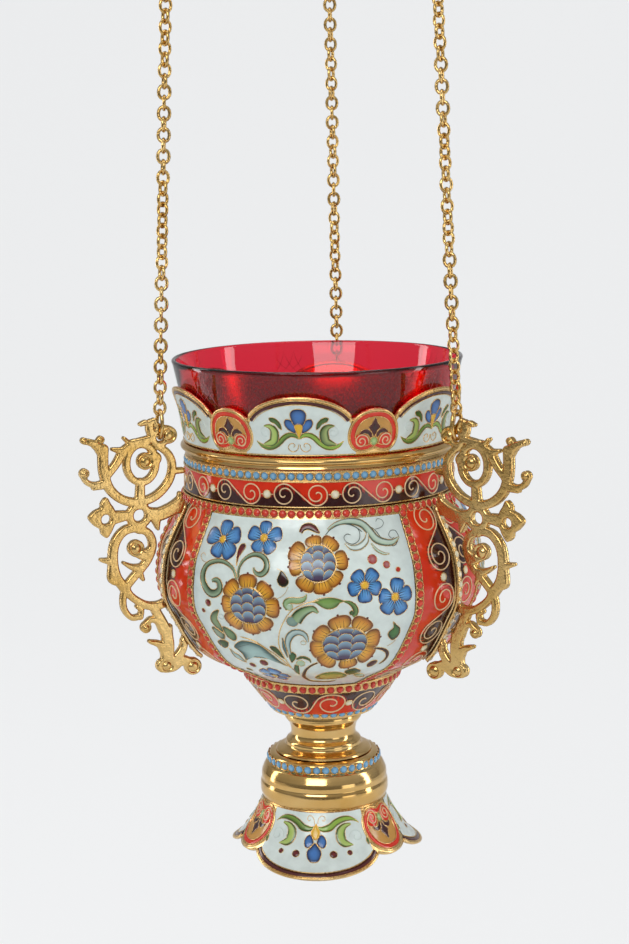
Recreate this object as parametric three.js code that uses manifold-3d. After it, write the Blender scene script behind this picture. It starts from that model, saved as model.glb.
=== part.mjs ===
// Hanging vigil lamp in gilt brass and enamel: red glass cup, bowl on a small foot,
// three cast scroll brackets, three cable chains and the hanger that carries them.
// Millimetres, Z up. The group is built with Z = 0 at the lowest edge of the foot, on the
// lamp's own axis, and is then lowered so that the origin is where the hanging ring is held.
// The front enamel panel faces -Y. The brackets stand at 90, 210 and 330 degrees.
import * as THREE from 'three';
import Module from 'manifold-3d';

const wasm = await Module();
wasm.setup();

// Driving dimensions: sheet metal of the body, as a stack of heights from the foot up
const WALL = 1.3;
const SEAT = 0.3;            // gap left between pieces that touch on the real lamp
const SKIRT_H = 18.4, DOME_H = 15.9, STEM_H = 15.2, LOWER_BAND_H = 14.7;
const BOWL_H = 64.3, BELLY_H = 34.6;   // BELLY_H is the height of the widest point over the bowl's floor
const BAND_H = 12.2, COLLAR_H = 3.9, LOBE_H = 19.1, PALMETTE_H = 14.7;
const FOOT_R = 35.4, DOME_R = 22.6, STEM_FOOT_R = 17, NECK_R = 11.4;
const LOWER_BAND_FOOT_R = 18.4, BOWL_FLOOR_R = 28.6, BOWL_BELLY_R = 57;
const BAND_CLEARANCE = 2.5;  // from the collar's throat to the outside of the upper band
const THROAT_CLEARANCE = 0.3;

// Driving dimensions: glass cup
const RIM_R = 50;            // standard lamp glass, 100 mm over the rim
const GLASS_RISE = 28.3;     // height of glass that stands clear of the collar
const GLASS_WALL = 2.2, GLASS_BASE = 3;
const GLASS_TAPER = 0.212;   // radius gained per mm of height

// Where each piece of the stack starts
const SKIRT_TOP_Z = SKIRT_H;
const DOME_FOOT_Z = SKIRT_TOP_Z + SEAT;
const STEM_FOOT_Z = DOME_FOOT_Z + DOME_H + SEAT;
const LOWER_BAND_FOOT_Z = STEM_FOOT_Z + STEM_H + SEAT;
const BOWL_FLOOR_Z = LOWER_BAND_FOOT_Z + LOWER_BAND_H + SEAT;
const BOWL_TOP_Z = BOWL_FLOOR_Z + BOWL_H;
const BAND_LOW_Z = BOWL_TOP_Z + SEAT, BAND_TOP_Z = BAND_LOW_Z + BAND_H;
const COLLAR_LOW_Z = BAND_TOP_Z + SEAT;
const THROAT_Z = COLLAR_LOW_Z + COLLAR_H;   // top of the collar, where the glass is centred
const CROWN_BASE_Z = THROAT_Z + SEAT;
const RIM_Z = THROAT_Z + GLASS_RISE;
const glassRadius = (z) => RIM_R - (RIM_Z - z) * GLASS_TAPER;
const THROAT_R = glassRadius(THROAT_Z) + THROAT_CLEARANCE;
const BAND_R = THROAT_R + BAND_CLEARANCE;

// Driving dimensions: tie rod that holds the stack together
const ROD_R = 3, ROD_HEAD_R = 10, ROD_HEAD_T = 1.8, NUT_R = 5.5, NUT_T = 4.4, ROD_CLEARANCE = 0.2;

// Driving dimensions: ribs and brackets
const RIB_WIDTH = 2.4, RIB_RISE = 1.4;
const PLATE_T = 3;           // thickness of a cast bracket
const EYE_OUT = 0.6, EYE_UP = 20.8, EYE_BORE = 1.35;   // eye from the bowl's belly and from its top edge
const EYE_R = BOWL_BELLY_R + EYE_OUT, EYE_Z = BOWL_TOP_Z + EYE_UP;

// Driving dimensions: chains, rings and hanger
const WIRE = 1.15, LINK_LONG = 5.6, LINK_WIDE = 4.9, LINKS = 41;
const LINK_BITE = 0.16;      // depth to which the wires of two links run into each other
const LINK_PITCH = LINK_LONG - 2 * WIRE + LINK_BITE;
const RING_WIRE = 1.3, LOW_RING_LONG = 10.6, LOW_RING_WIDE = 6.9, TOP_RING = 7;
const RING_DROP = 0.3;       // a ring's wire lies this far off the middle of its hole
const RING_PLAY = 0.2;       // air between a ring and the link that hangs in it
const TOP_EYE_R = 50.4;      // radius at which the chains meet the hanger
const ARM_T = 3, HUB_R = 7, ARM_WIDE = 5.5, ARM_NARROW = 2.8, ARM_BOSS_R = 2.9;
const ARM_KNOT_R = 22, ARM_KNOT = 1.9;  // place and radius of the arm's knot
const ROD_TAIL = 12;         // tie rod below the top of the skirt
const HANG_RING_R = 12, HANG_RING_WIRE = 3;

const BRACKET_ANGLES = [90, 210, 330];
const DEG = Math.PI / 180;

// Materials
const finish = (color, roughness, metalness, extra = {}) =>
  new THREE.MeshStandardMaterial({ color, roughness, metalness, ...extra });
const GILT = finish(0xc9973f, 0.25, 1);
const ENAMEL_WHITE = finish(0xdfe8ee, 0.15, 0);
const ENAMEL_RED = finish(0x9c1e12, 0.15, 0);
const GLASS = finish(0xa30716, 0.05, 0, { transparent: true, opacity: 0.6 });
const CORK = finish(0xb08a5c, 0.9, 0);
const WICK = finish(0xece5d2, 0.95, 0);

const lamp = new THREE.Group();
const parts = {};
function add(name, geometry, material, angle = 0) {
  const mesh = new THREE.Mesh(geometry, material);
  mesh.name = name;
  mesh.rotation.z = angle * DEG;
  lamp.add(mesh);
  parts[name] = mesh;
  return mesh;
}

// A three.js geometry as a manifold solid, with like points merged and thin slivers dropped.
function solid(geometry) {
  const position = geometry.getAttribute('position');
  const index = geometry.index ? geometry.index.array : [...Array(position.count).keys()];
  const ids = new Map(), points = [], own = [];
  for (let i = 0; i < position.count; i++) {
    const p = [position.getX(i), position.getY(i), position.getZ(i)];
    const key = p.map((v) => Math.round(v * 1e4)).join();
    if (!ids.has(key)) { ids.set(key, points.length / 3); points.push(...p); }
    own.push(ids.get(key));
  }
  const faces = [];
  for (let i = 0; i < index.length; i += 3) {
    const [a, b, c] = [own[index[i]], own[index[i + 1]], own[index[i + 2]]];
    if (a !== b && b !== c && c !== a) faces.push(a, b, c);
  }
  const make = () => new wasm.Manifold(new wasm.Mesh({
    numProp: 3, vertProperties: new Float32Array(points), triVerts: new Uint32Array(faces) }));
  let body = make();
  if (body.volume() < 0) {
    for (let i = 0; i < faces.length; i += 3) [faces[i + 1], faces[i + 2]] = [faces[i + 2], faces[i + 1]];
    body = make();
  }
  return body;
}

function geometryOf(body) {
  const mesh = body.getMesh(), geometry = new THREE.BufferGeometry();
  geometry.setAttribute('position', new THREE.BufferAttribute(new Float32Array(mesh.vertProperties), 3));
  geometry.setIndex(new THREE.BufferAttribute(new Uint32Array(mesh.triVerts), 1));
  return geometry;
}

const union = (list) => list.reduce((sum, next) => sum.add(next));

// A closed [radius, height] outline turned about the lamp's axis.
function turned(outline, steps = 36) {
  const ring = [...outline, outline[0]].map(([r, z]) => new THREE.Vector2(r, z));
  return solid(new THREE.LatheGeometry(ring, steps).rotateX(Math.PI / 2));
}

// A profile moved inwards by a wall thickness, square to its slope.
function inset(profile, wall) {
  return profile.map(([r, z], i) => {
    const [r0, z0] = profile[Math.max(i - 1, 0)], [r1, z1] = profile[Math.min(i + 1, profile.length - 1)];
    const length = Math.hypot(r1 - r0, z1 - z0);
    return [r - wall * Math.abs(z1 - z0) / length, z + wall * Math.sign(z1 - z0) * (r1 - r0) / length * -1];
  });
}

// A profile between two [radius, height] ends, from [share of radius, share of height] pairs.
const between = ([r0, z0], [r1, z1], shares) => shares.map(([u, v]) => [r0 + (r1 - r0) * u, z0 + (z1 - z0) * v]);

// Glass cup: a plain tapered tumbler with a thick flat base.
const GLASS_FOOT_Z = BOWL_FLOOR_Z + WALL + 2 * SEAT + ROD_HEAD_T;
const GLASS_FLOOR_Z = GLASS_FOOT_Z + GLASS_BASE;
function glassCup() {
  const inner = (z) => glassRadius(z) - GLASS_WALL;
  return turned([
    [0, GLASS_FOOT_Z], [glassRadius(GLASS_FOOT_Z) - 2, GLASS_FOOT_Z], [glassRadius(GLASS_FOOT_Z + 2), GLASS_FOOT_Z + 2],
    [RIM_R, RIM_Z - 0.8], [RIM_R - 0.5, RIM_Z], [inner(RIM_Z) + 0.3, RIM_Z],
    [inner(GLASS_FLOOR_Z + 2), GLASS_FLOOR_Z + 2], [inner(GLASS_FLOOR_Z) - 2, GLASS_FLOOR_Z], [0, GLASS_FLOOR_Z]], 32);
}

// Wick float: a cork disc with a brass tube and a cotton wick, lying on the floor of the dry cup.
const CORK_R = 13, CORK_T = 5, TUBE_R = 2.2, WICK_R = 1.2;
function wickFloat() {
  const low = GLASS_FLOOR_Z + SEAT;
  add('float_cork', geometryOf(turned([
    [TUBE_R + 0.2, low], [CORK_R - 1, low], [CORK_R, low + 1], [CORK_R, low + CORK_T - 1], [CORK_R - 1, low + CORK_T], [TUBE_R + 0.2, low + CORK_T]], 14)), CORK);
  add('float_tube', geometryOf(turned([
    [WICK_R + 0.2, low], [TUBE_R, low], [TUBE_R, low + CORK_T + SEAT], [TUBE_R + 2, low + CORK_T + SEAT], [TUBE_R + 2, low + CORK_T + 0.9], [WICK_R + 0.2, low + CORK_T + 0.9]], 8)), GILT);
  add('wick', geometryOf(solid(new THREE.CylinderGeometry(WICK_R * 0.8, WICK_R, 9, 8).rotateX(Math.PI / 2).translate(0, 0, low + 4.5))), WICK);
}

// A turned sheet whose edge follows a function of the angle, as on the crown and the skirt.
// path(l) gives [radius, height] at l mm along the sheet, reach(angle) the length at an angle.
// rise is +1 for a sheet that runs upwards and -1 for one that runs down. A flange, where
// there is one, runs level from its own radius to the sheet's first edge.
function edgedSheet(path, reach, rows, steps, wall, rise, flangeR = 0) {
  const points = [], faces = [], column = 2 * (rows + 1) + (flangeR ? 2 : 0);
  for (let j = 0; j < steps; j++) {
    const angle = (j / steps) * 360, length = reach(angle);
    for (let k = 0; k < column; k++) {
      const row = k <= rows ? k : Math.max(2 * rows + 1 - k, -1), side = k <= rows ? 0 : wall;
      const l = length * Math.max(row, 0) / rows;
      const [r, z] = path(l), [r1, z1] = path(l + 0.2), run = Math.hypot(r1 - r, z1 - z);
      let radius = r - side * Math.abs(z1 - z) / run, height = z + rise * side * Math.abs(r1 - r) / run;
      if (row < 0) [radius, height] = [flangeR, path(0)[1] + (k === column - 1 ? 0 : rise * wall)];
      points.push(radius * Math.cos(angle * DEG), radius * Math.sin(angle * DEG), height);
      const a = j * column + k, b = j * column + (k + 1) % column;
      const c = ((j + 1) % steps) * column + (k + 1) % column, d = ((j + 1) % steps) * column + k;
      faces.push(a, b, c, a, c, d);
    }
  }
  const geometry = new THREE.BufferGeometry();
  geometry.setAttribute('position', new THREE.Float32BufferAttribute(points, 3));
  geometry.setIndex(faces);
  return solid(geometry);
}

// A point l mm along a [radius, height] profile.
function along(profile) {
  return (l) => {
    let rest = l;
    for (let i = 1; i < profile.length; i++) {
      const [r0, z0] = profile[i - 1], [r1, z1] = profile[i], step = Math.hypot(r1 - r0, z1 - z0);
      if (rest <= step || i === profile.length - 1) return [r0 + (r1 - r0) * rest / step, z0 + (z1 - z0) * rest / step];
      rest -= step;
    }
  };
}

const lengthOf = (profile) => profile.slice(1).reduce((sum, [r, z], i) => sum + Math.hypot(r - profile[i][0], z - profile[i][1]), 0);

// Half an ellipse over an angle, used for every lobe and palmette outline.
const arch = (offset, halfWidth) => Math.sqrt(Math.max(0, 1 - (offset / halfWidth) ** 2));
const fromNearest = (angle, start, spacing) => {
  const turn = (((angle - start) % spacing) + spacing) % spacing;
  return Math.min(turn, spacing - turn);
};

// Crown: six round lobes with a palmette between each two, flaring from the collar.
const CROWN_R = THROAT_R + 2.3, CROWN_FLARE = 4.4;
const CROWN_PROFILE = between([CROWN_R, CROWN_BASE_Z], [CROWN_R + CROWN_FLARE, CROWN_BASE_Z + LOBE_H + 1],
  [[0, 0], [0.09, 0.214], [0.295, 0.463], [0.59, 0.711], [1, 1]]);
const LOBES = 6, LOBE_HALF = 22.5, LOBE_NOTCH_H = 7.6;          // half width in degrees, height of the notch beside a lobe
const PALMETTE_HALF = 10.5, PALMETTE_NOTCH_H = 7.3;
const FRONT = 270;           // the angle of the front, where a lobe stands
function crown() {
  const spacing = 360 / LOBES;
  const top = (angle) => Math.max(
    LOBE_NOTCH_H + (LOBE_H - LOBE_NOTCH_H) * arch(fromNearest(angle, FRONT, spacing), LOBE_HALF),
    PALMETTE_NOTCH_H + (PALMETTE_H - PALMETTE_NOTCH_H) * arch(fromNearest(angle, FRONT + spacing / 2, spacing), PALMETTE_HALF));
  return edgedSheet(along(CROWN_PROFILE), (angle) => top(angle) * 1.03, 2, 60, WALL, 1);
}

// Collar: the moulded gilt ring under the crown; its throat centres the glass.
function collar() {
  return turned([[THROAT_R, COLLAR_LOW_Z], ...between([BAND_R, COLLAR_LOW_Z], [BAND_R + 1, THROAT_Z],
    [[-0.6, 0], [-0.9, 0.28], [0.4, 0.44], [0.9, 0.64], [0.4, 0.87], [-0.2, 1]]), [THROAT_R, THROAT_Z]], 32);
}

// Upper enamel band: a straight hoop with room for its rows of beads.
const GROOVE = 0.5;          // depth of the groove that the upper beads lie in
function upperBand() {
  return turned([[BAND_R - WALL, BAND_LOW_Z], [BAND_R, BAND_LOW_Z], [BAND_R, BAND_TOP_Z - 3.6], [BAND_R - GROOVE, BAND_TOP_Z - 3.2],
    [BAND_R - GROOVE, BAND_TOP_Z - 0.8], [BAND_R - 0.9, BAND_TOP_Z], [BAND_R - WALL - 0.9, BAND_TOP_Z]], 32);
}

// Bowl: the enamelled body, a full-bellied shell with a flat floor for the tie rod.
const BOWL_TOP_R = BAND_R + 0.6;
const BELLY = [BOWL_BELLY_R, BOWL_FLOOR_Z + BELLY_H];
const BOWL_PROFILE = [
  ...between([BOWL_FLOOR_R, BOWL_FLOOR_Z], BELLY, [[0, 0], [0.254, 0.116], [0.532, 0.243], [0.69, 0.393], [0.866, 0.659], [0.972, 0.835], [1, 1]]),
  ...between(BELLY, [BOWL_TOP_R, BOWL_TOP_Z], [[0.021, 0.135], [0.146, 0.37], [0.417, 0.572], [0.771, 0.791], [0.938, 0.916], [1, 1]])];
function bowl() {
  const inner = inset(BOWL_PROFILE, WALL).filter((_, i) => i % 3 === 0).slice(1).reverse();
  return turned([[ROD_R + ROD_CLEARANCE, BOWL_FLOOR_Z], ...BOWL_PROFILE, [inner[0][0], BOWL_TOP_Z], ...inner.slice(1), [BOWL_FLOOR_R, BOWL_FLOOR_Z + WALL], [ROD_R + ROD_CLEARANCE, BOWL_FLOOR_Z + WALL]], 32);
}

// Rib: a gilt strip that covers the joint of two panels and carries a bracket.
function rib() {
  const rows = BOWL_PROFILE.slice(2, -1);
  const outer = rows.map(([r, z]) => new THREE.Vector2(r + SEAT + RIB_RISE, z));
  const inner = rows.map(([r, z]) => new THREE.Vector2(r + SEAT, z)).reverse();
  const strip = new THREE.ExtrudeGeometry(new THREE.Shape([...outer, ...inner]), { depth: RIB_WIDTH, bevelEnabled: false, steps: 1 });
  return solid(strip.translate(0, 0, -RIB_WIDTH / 2).rotateX(Math.PI / 2));
}

// Lower band: the tapered enamel hoop under the bowl, closed by a floor at its foot.
function lowerBand() {
  const rod = ROD_R + ROD_CLEARANCE, foot = [LOWER_BAND_FOOT_R, LOWER_BAND_FOOT_Z], top = [BOWL_FLOOR_R - 0.6, BOWL_FLOOR_Z - SEAT];
  return turned([[rod, foot[1]], ...between(foot, top, [[0, 0], [0.02, 0.095], [0.167, 0.15], [0.542, 0.476], [0.854, 0.762], [0.958, 0.789], [0.958, 0.939], [1, 1]]),
    [top[0] - 2, top[1]], ...between(foot, top, [[0.73, 0.776]]), [foot[0] - 1, foot[1] + WALL], [rod, foot[1] + WALL]], 24);
}

// Stem: the waisted gilt neck between body and foot.
function stem() {
  const rod = ROD_R + ROD_CLEARANCE, top = STEM_FOOT_Z + STEM_H;
  const neck = (rows) => between([NECK_R, STEM_FOOT_Z], [NECK_R + 1, top], rows);
  return turned([[rod, top], [rod, top - WALL], [NECK_R + 0.6, top - WALL], ...neck([[-WALL, 0.454], [0.6, 0.138]]), [STEM_FOOT_R - WALL - 0.4, STEM_FOOT_Z],
    [STEM_FOOT_R, STEM_FOOT_Z], [STEM_FOOT_R - 0.8, STEM_FOOT_Z + 0.9], ...neck([[2.2, 0.125], [1.8, 0.243], [0.4, 0.336], [0, 0.454], [0.6, 0.638], [2, 0.77], [2, 0.915], [1.4, 1]])], 20);
}

// Dome: the stepped gilt cap of the foot, with the ledge that carries its bead row.
function dome() {
  const rod = ROD_R + ROD_CLEARANCE, top = DOME_FOOT_Z + DOME_H;
  const cap = (rows) => between([DOME_R, DOME_FOOT_Z], [DOME_R + 1, top], rows);
  return turned([[rod, top], [rod, top - WALL], [DOME_R - 6, top - WALL], ...cap([[-2.2, 0.56], [-2, 0]]),
    ...cap([[-0.6, 0], [0, 0.107], [0, 0.27], [-0.5, 0.377], [-0.4, 0.472], [-1.2, 0.648], [-2.7, 0.774], [-2.7, 0.925], [-4.8, 1]])], 24);
}

// Foot skirt: three broad lobes and three palmettes that flare out under the dome.
const SKIRT_NECK_R = DOME_R - 0.6, SKIRT_FLANGE_R = SKIRT_NECK_R - 4;
const SKIRT_PROFILE = between([SKIRT_NECK_R, SKIRT_TOP_Z], [FOOT_R, 0], [[0, 0], [0.104, 0.185], [0.269, 0.402], [0.493, 0.63], [0.746, 0.837], [1, 1]]);
const FOOT_LOBES = 3, FOOT_LOBE_HALF = 50, FOOT_LOBE_CUT = 12.6;       // half width in degrees, depth of the notch in mm of sheet
const FOOT_PALMETTE_HALF = 21, FOOT_PALMETTE_CUT = 5.6, FOOT_PALMETTE_DEPTH = 6;
function footSkirt() {
  const whole = lengthOf(SKIRT_PROFILE), spacing = 360 / FOOT_LOBES;
  const reach = (angle) => Math.max(
    whole - FOOT_LOBE_CUT * (1 - arch(fromNearest(angle, FRONT, spacing), FOOT_LOBE_HALF)),
    whole - FOOT_PALMETTE_CUT - FOOT_PALMETTE_DEPTH * (1 - arch(fromNearest(angle, FRONT + spacing / 2, spacing), FOOT_PALMETTE_HALF)));
  return edgedSheet(along(SKIRT_PROFILE), reach, 3, 48, WALL, -1, SKIRT_FLANGE_R);
}

// Tie rod, clamp disc and nut: they pull foot, stem, lower band and bowl together.
function tieRod() {
  const head = BOWL_FLOOR_Z + WALL + SEAT, foot = SKIRT_TOP_Z - ROD_TAIL;
  add('tie_rod', geometryOf(turned([[0, foot], [ROD_R - 0.5, foot], [ROD_R, foot + 0.5], [ROD_R, head], [ROD_HEAD_R, head], [ROD_HEAD_R, head + ROD_HEAD_T - 0.4], [ROD_HEAD_R - 0.4, head + ROD_HEAD_T], [0, head + ROD_HEAD_T]], 12)), GILT);
  const disc = SKIRT_TOP_Z - WALL - SEAT;
  add('clamp_disc', geometryOf(turned([[ROD_R + ROD_CLEARANCE, disc - 1.6], [SKIRT_FLANGE_R + 1.6, disc - 1.6], [SKIRT_FLANGE_R + 1.6, disc], [ROD_R + ROD_CLEARANCE, disc]], 16)), GILT);
  const nut = new THREE.CylinderGeometry(NUT_R, NUT_R, NUT_T, 6).rotateX(Math.PI / 2);
  const bore = new THREE.CylinderGeometry(ROD_R + ROD_CLEARANCE, ROD_R + ROD_CLEARANCE, NUT_T + 2, 12).rotateX(Math.PI / 2);
  add('foot_nut', geometryOf(solid(nut).subtract(solid(bore)).translate(0, 0, disc - 1.6 - SEAT - NUT_T / 2)), GILT);
}

// Bracket strokes: each is a centre line with its width in mm at both ends. Points are [outwards from the
// bowl's widest radius, upwards from the bowl's top edge].
const STROKES = {
  great_scroll: { line: [[1.4, 18.1], [-2.1, 15.1], [-3.5, 10.9], [-2.1, 5.7], [2.4, 1.2], [8.4, -0.6], [14.2, 0.7], [18.5, 4.6], [20.3, 9.9], [20.5, 14.9], [20.3, 18.3]], width: [2.5, 3.5] },
  bird_leaf: { line: [[21.2, 17.6], [23, 20], [27, 21.6]], width: [3.2, 1.9] },
  bird_beak: { line: [[22.8, 19.4], [21, 21.6]], width: [2.6, 2.2] },
  upper_bar: { line: [[2, 20.6], [7, 20.1], [11, 19.8], [13, 21.3]], width: [3, 1.3] },
  cross_leaf: { line: [[9.6, 19.3], [13.4, 17], [16, 13.1], [20, 8.5]], width: [3, 2.6] },
  cross_thorn: { line: [[13.6, 17], [17.1, 17.9]], width: [2.6, 1.3] },
  scroll_stem: { line: [[7.8, 6.1], [8.2, -0.1]], width: [2.8, 3.4] },
  ring_curl_root: { line: [[2.6, 13.8], [6, 13.2]], width: [4.6, 4.6] },
  hook: { line: [[20.4, 6.8], [23.4, 6.4], [26.2, 7.5], [27.8, 10]], width: [2.4, 1.7] },
  hook_thorn: { line: [[21, 6], [24.2, 5.3]], width: [2.4, 1.2] },
  eye_leaf: { line: [[2.2, 20.4], [4, 23.6], [3.6, 26.2]], width: [3.6, 2] },
  eye_leaf_tip: { line: [[3.9, 24.4], [5.2, 26], [7.2, 25.6]], width: [2.4, 1.4] },
  eye_brow: { line: [[-2.6, 23.2], [0.8, 24.4], [2.4, 26.6]], width: [2.6, 1.8] },
  fixing_lug: { line: [[-3.2, 9], [-7, 9]], width: [2.2, 2] },
  knot_to_scroll: { line: [[8.6, -0.9], [8.8, -9.1]], width: [4.6, 4.6] },
  shoulder_arm: { line: [[6, -4.8], [1.4, -5.3], [-4, -3.6], [-10.5, -2.9]], width: [4.6, 4.4] },
  shoulder_tip: { line: [[3, -6.2], [2.3, -10.2]], width: [3.8, 1.2] },
  shoulder_curl: { line: [[-3, -2.8], [-5.6, -0.6], [-6, 1]], width: [2.6, 1.7] },
  leaf_neck: { line: [[12, -4.6], [18, -5.1]], width: [3, 4.6] },
  ring_left: { line: [[9.4, -9.3], [5.6, -11.5], [4.3, -15.6], [6.2, -20.6], [10, -24.7], [14.4, -29.4]], width: [2.8, 2.8] },
  ring_right: { line: [[8.6, -9], [14, -9.9], [17.4, -13.9], [18.3, -19.7], [17.3, -25.3], [14.4, -29.8]], width: [3, 3.5] },
  ring_corner: { line: [[18.6, -21.5], [18.9, -26], [16.4, -27.3]], width: [2.8, 2.6] },
  ring_thorn: { line: [[18.8, -20], [22.4, -19.1]], width: [2.6, 1.3] },
  ring_curl: { line: [[5.2, -17.8], [7.6, -18.9], [10.2, -17.6]], width: [3.4, 3] },
  inner_leaf: { line: [[8.6, -23.2], [11.6, -22.6], [14.6, -20.9]], width: [3, 1.2] },
  inner_thorn: { line: [[9.5, -23.9], [8.1, -27.1]], width: [2.6, 1.3] },
  branch: { line: [[14.4, -29.2], [12.2, -32.7], [7.6, -36], [3.6, -36.7], [0, -35.9]], width: [2.5, 3] },
  branch_pad: { line: [[1, -35.9], [-5, -35.3]], width: [2.4, 2.2] },
  loop: { line: [[14.2, -29.4], [15.2, -33], [14.9, -36.8], [12.6, -39.8], [9.6, -39.9]], width: [2.2, 2] },
  loop_curl: { line: [[9.4, -39.9], [9, -37.6], [10.3, -36.4]], width: [2, 1.6] },
  trunk: { line: [[4.6, -37], [2.6, -41], [0.7, -45.5], [-0.1, -50], [0.2, -54], [0.4, -57.5]], width: [3, 4.8] },
  trunk_leaf: { line: [[-0.5, -49.5], [-1.2, -44.2]], width: [2.6, 1.2] },
  low_curl: { line: [[1.8, -46], [3.2, -42.7], [5.6, -41.3], [8, -43.1]], width: [2.2, 2] },
  outer_leaf: { line: [[0.8, -53.2], [2.8, -50.4], [6.3, -49]], width: [3.6, 1.4] },
  base: { line: [[2, -57.8], [-1.4, -58.2], [-4.6, -56.8], [-8.4, -58.1]], width: [4.8, 3.2] },
  inner_arm: { line: [[-2.8, -56.2], [-5.3, -52.7], [-6.4, -48.3]], width: [3.4, 2.2] },
  inner_pad: { line: [[-5.6, -50.1], [-10.5, -48.1]], width: [2.2, 2] },
};
// Round knobs, [out, up, radius]: boss, ring and lower ring curls, hook end, bird's crest and beak, pad, low curl, heel, foot.
const KNOBS = [[-2.4, 21.4, 3], [6, 13.1, 2.9], [10.2, -16.2, 2.9], [27.1, 10.6, 1.7], [21.2, 21.4, 1.3], [26.8, 21.4, 1.1], [0.2, -35.9, 1.7], [7.6, -43.9, 1.9], [0.6, -57.9, 2.5], [-8.8, -59.3, 3]];
const EYE_BOSS_R = 3.4, KNOT = [8.7, -5.1], KNOT_R = 4.5, KNOT_BORE = 2, LEAF_EYE = [20.3, -5.4], LEAF_BORE = 1.6;
const LEAF_OUTLINE = [[18.5, -0.1], [19.5, 1.8], [20.8, 1.6], [22, -0.1], [22.1, -1.3], [24.5, -2.4], [26.3, -4.5], [24.5, -7.2], [22.5, -8.6], [22, -10.5], [20.2, -11.7], [18.7, -10.1], [17.7, -8.2], [16.6, -5.9], [16.8, -3.5], [17.5, -1.6]];
// Points round an ellipse, counter-clockwise.
const oval = (r, z, wide, high = wide, steps = 12) => Array.from({ length: steps }, (_, i) => {
  const t = 2 * Math.PI * i / steps;
  return [r + wide * Math.cos(t), z + high * Math.sin(t)];
});
const RING_OUT = 7.4, RING_UP = 12.5, RING_HALF_OUT = 5.1, RING_HALF_UP = 6.4, RING_WIDTH = 2.5;
const UPPER_RING = { line: [...oval(RING_OUT, RING_UP, RING_HALF_OUT, RING_HALF_UP), [RING_OUT + RING_HALF_OUT, RING_UP]], width: [RING_WIDTH, RING_WIDTH] };
const FILLET = 0.25;         // rounding in the corners where strokes meet
const BRACKET_HOLES = [[EYE_OUT, EYE_UP, EYE_BORE], [...KNOT, KNOT_BORE], [...LEAF_EYE, LEAF_BORE]];

// A stroke becomes an outline whose two edges run half a width either side of its smooth line.
function stroke({ line, width }) {
  const curve = new THREE.CatmullRomCurve3(line.map(([r, z]) => new THREE.Vector3(r, z, 0)), false, 'centripetal');
  const steps = line.length === 2 ? 1 : Math.round(line.length * 1.2), left = [], right = [];
  for (let i = 0; i <= steps; i++) {
    const t = i / steps, p = curve.getPoint(t), d = curve.getTangent(t), w = (width[0] + (width[1] - width[0]) * t) / 2;
    left.push([p.x - d.y * w, p.y + d.x * w]);
    right.unshift([p.x + d.y * w, p.y - d.x * w]);
  }
  return [...right.reverse(), ...left.reverse()];
}

const flat = (outline) => new wasm.CrossSection([outline], 'NonZero');

// Cuts flat outlines together, takes the holes out and raises the result to a plate.
function casting(outlines, holes, thickness) {
  let area = outlines.map(flat).reduce((sum, next) => sum.add(next));
  area = area.offset(FILLET, 'Round', 2, 12).offset(-FILLET, 'Round', 2, 12);
  area = holes.map(flat).reduce((sum, next) => sum.subtract(next), area).simplify(0.2);
  const rings = area.toPolygons().map((ring) => ring.map(([x, y]) => new THREE.Vector2(x, y)));
  const outer = rings.filter((ring) => !THREE.ShapeUtils.isClockWise(ring));
  const plates = outer.map((ring) => {
    const shape = new THREE.Shape(ring);
    shape.holes = rings.filter((hole) => THREE.ShapeUtils.isClockWise(hole)).map((hole) => new THREE.Path(hole));
    return shape;
  });
  return solid(new THREE.ExtrudeGeometry(plates[0], { depth: thickness, bevelEnabled: false, steps: 1 })
    .translate(0, 0, -thickness / 2).rotateX(Math.PI / 2));
}

// Bracket: one openwork casting, cut back so that it seats on rib, bowl and band.
function bracket() {
  const face = BOWL_PROFILE.map(([radius, height]) => [radius + 2 * SEAT + RIB_RISE, height]);
  const seat = [[0, LOWER_BAND_FOOT_Z], [face[0][0], LOWER_BAND_FOOT_Z], ...face.slice(0, -1), [BAND_R + SEAT, BOWL_TOP_Z], [BAND_R + SEAT, RIM_Z], [0, RIM_Z]];
  const onBody = (outline) => outline.map(([out, up]) => [BOWL_BELLY_R + out, BOWL_TOP_Z + up]);
  return casting([...Object.values(STROKES).map(stroke), stroke(UPPER_RING),
    ...[[EYE_OUT, EYE_UP, EYE_BOSS_R], [...KNOT, KNOT_R], ...KNOBS].map(([out, up, size]) => oval(out, up, size)), LEAF_OUTLINE.toReversed()].map(onBody),
  [seat, ...BRACKET_HOLES.map(([out, up, size]) => onBody(oval(out, up, size, size, 10)))], PLATE_T);
}

// Chain line: from the bracket's eye up and inwards to the hanger's eye.
const WIRE_CONTACT = (RING_WIRE + WIRE) / 2 + RING_PLAY;
const LINK_HALF = (LINK_LONG - WIRE) / 2;
const LOW_RING_TOP = LOW_RING_LONG - RING_WIRE - RING_DROP;
const FIRST_LINK = LOW_RING_TOP - WIRE_CONTACT + LINK_HALF;
const LAST_LINK = FIRST_LINK + (LINKS - 1) * LINK_PITCH;
const TOP_RING_LOW = LAST_LINK + LINK_HALF - WIRE_CONTACT;
const CHAIN_REACH = TOP_RING_LOW + (TOP_RING - RING_WIRE) - RING_DROP;
const CHAIN_LEAN = Math.asin((EYE_R - TOP_EYE_R) / CHAIN_REACH);
const TOP_EYE_Z = EYE_Z + CHAIN_REACH * Math.cos(CHAIN_LEAN);

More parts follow.
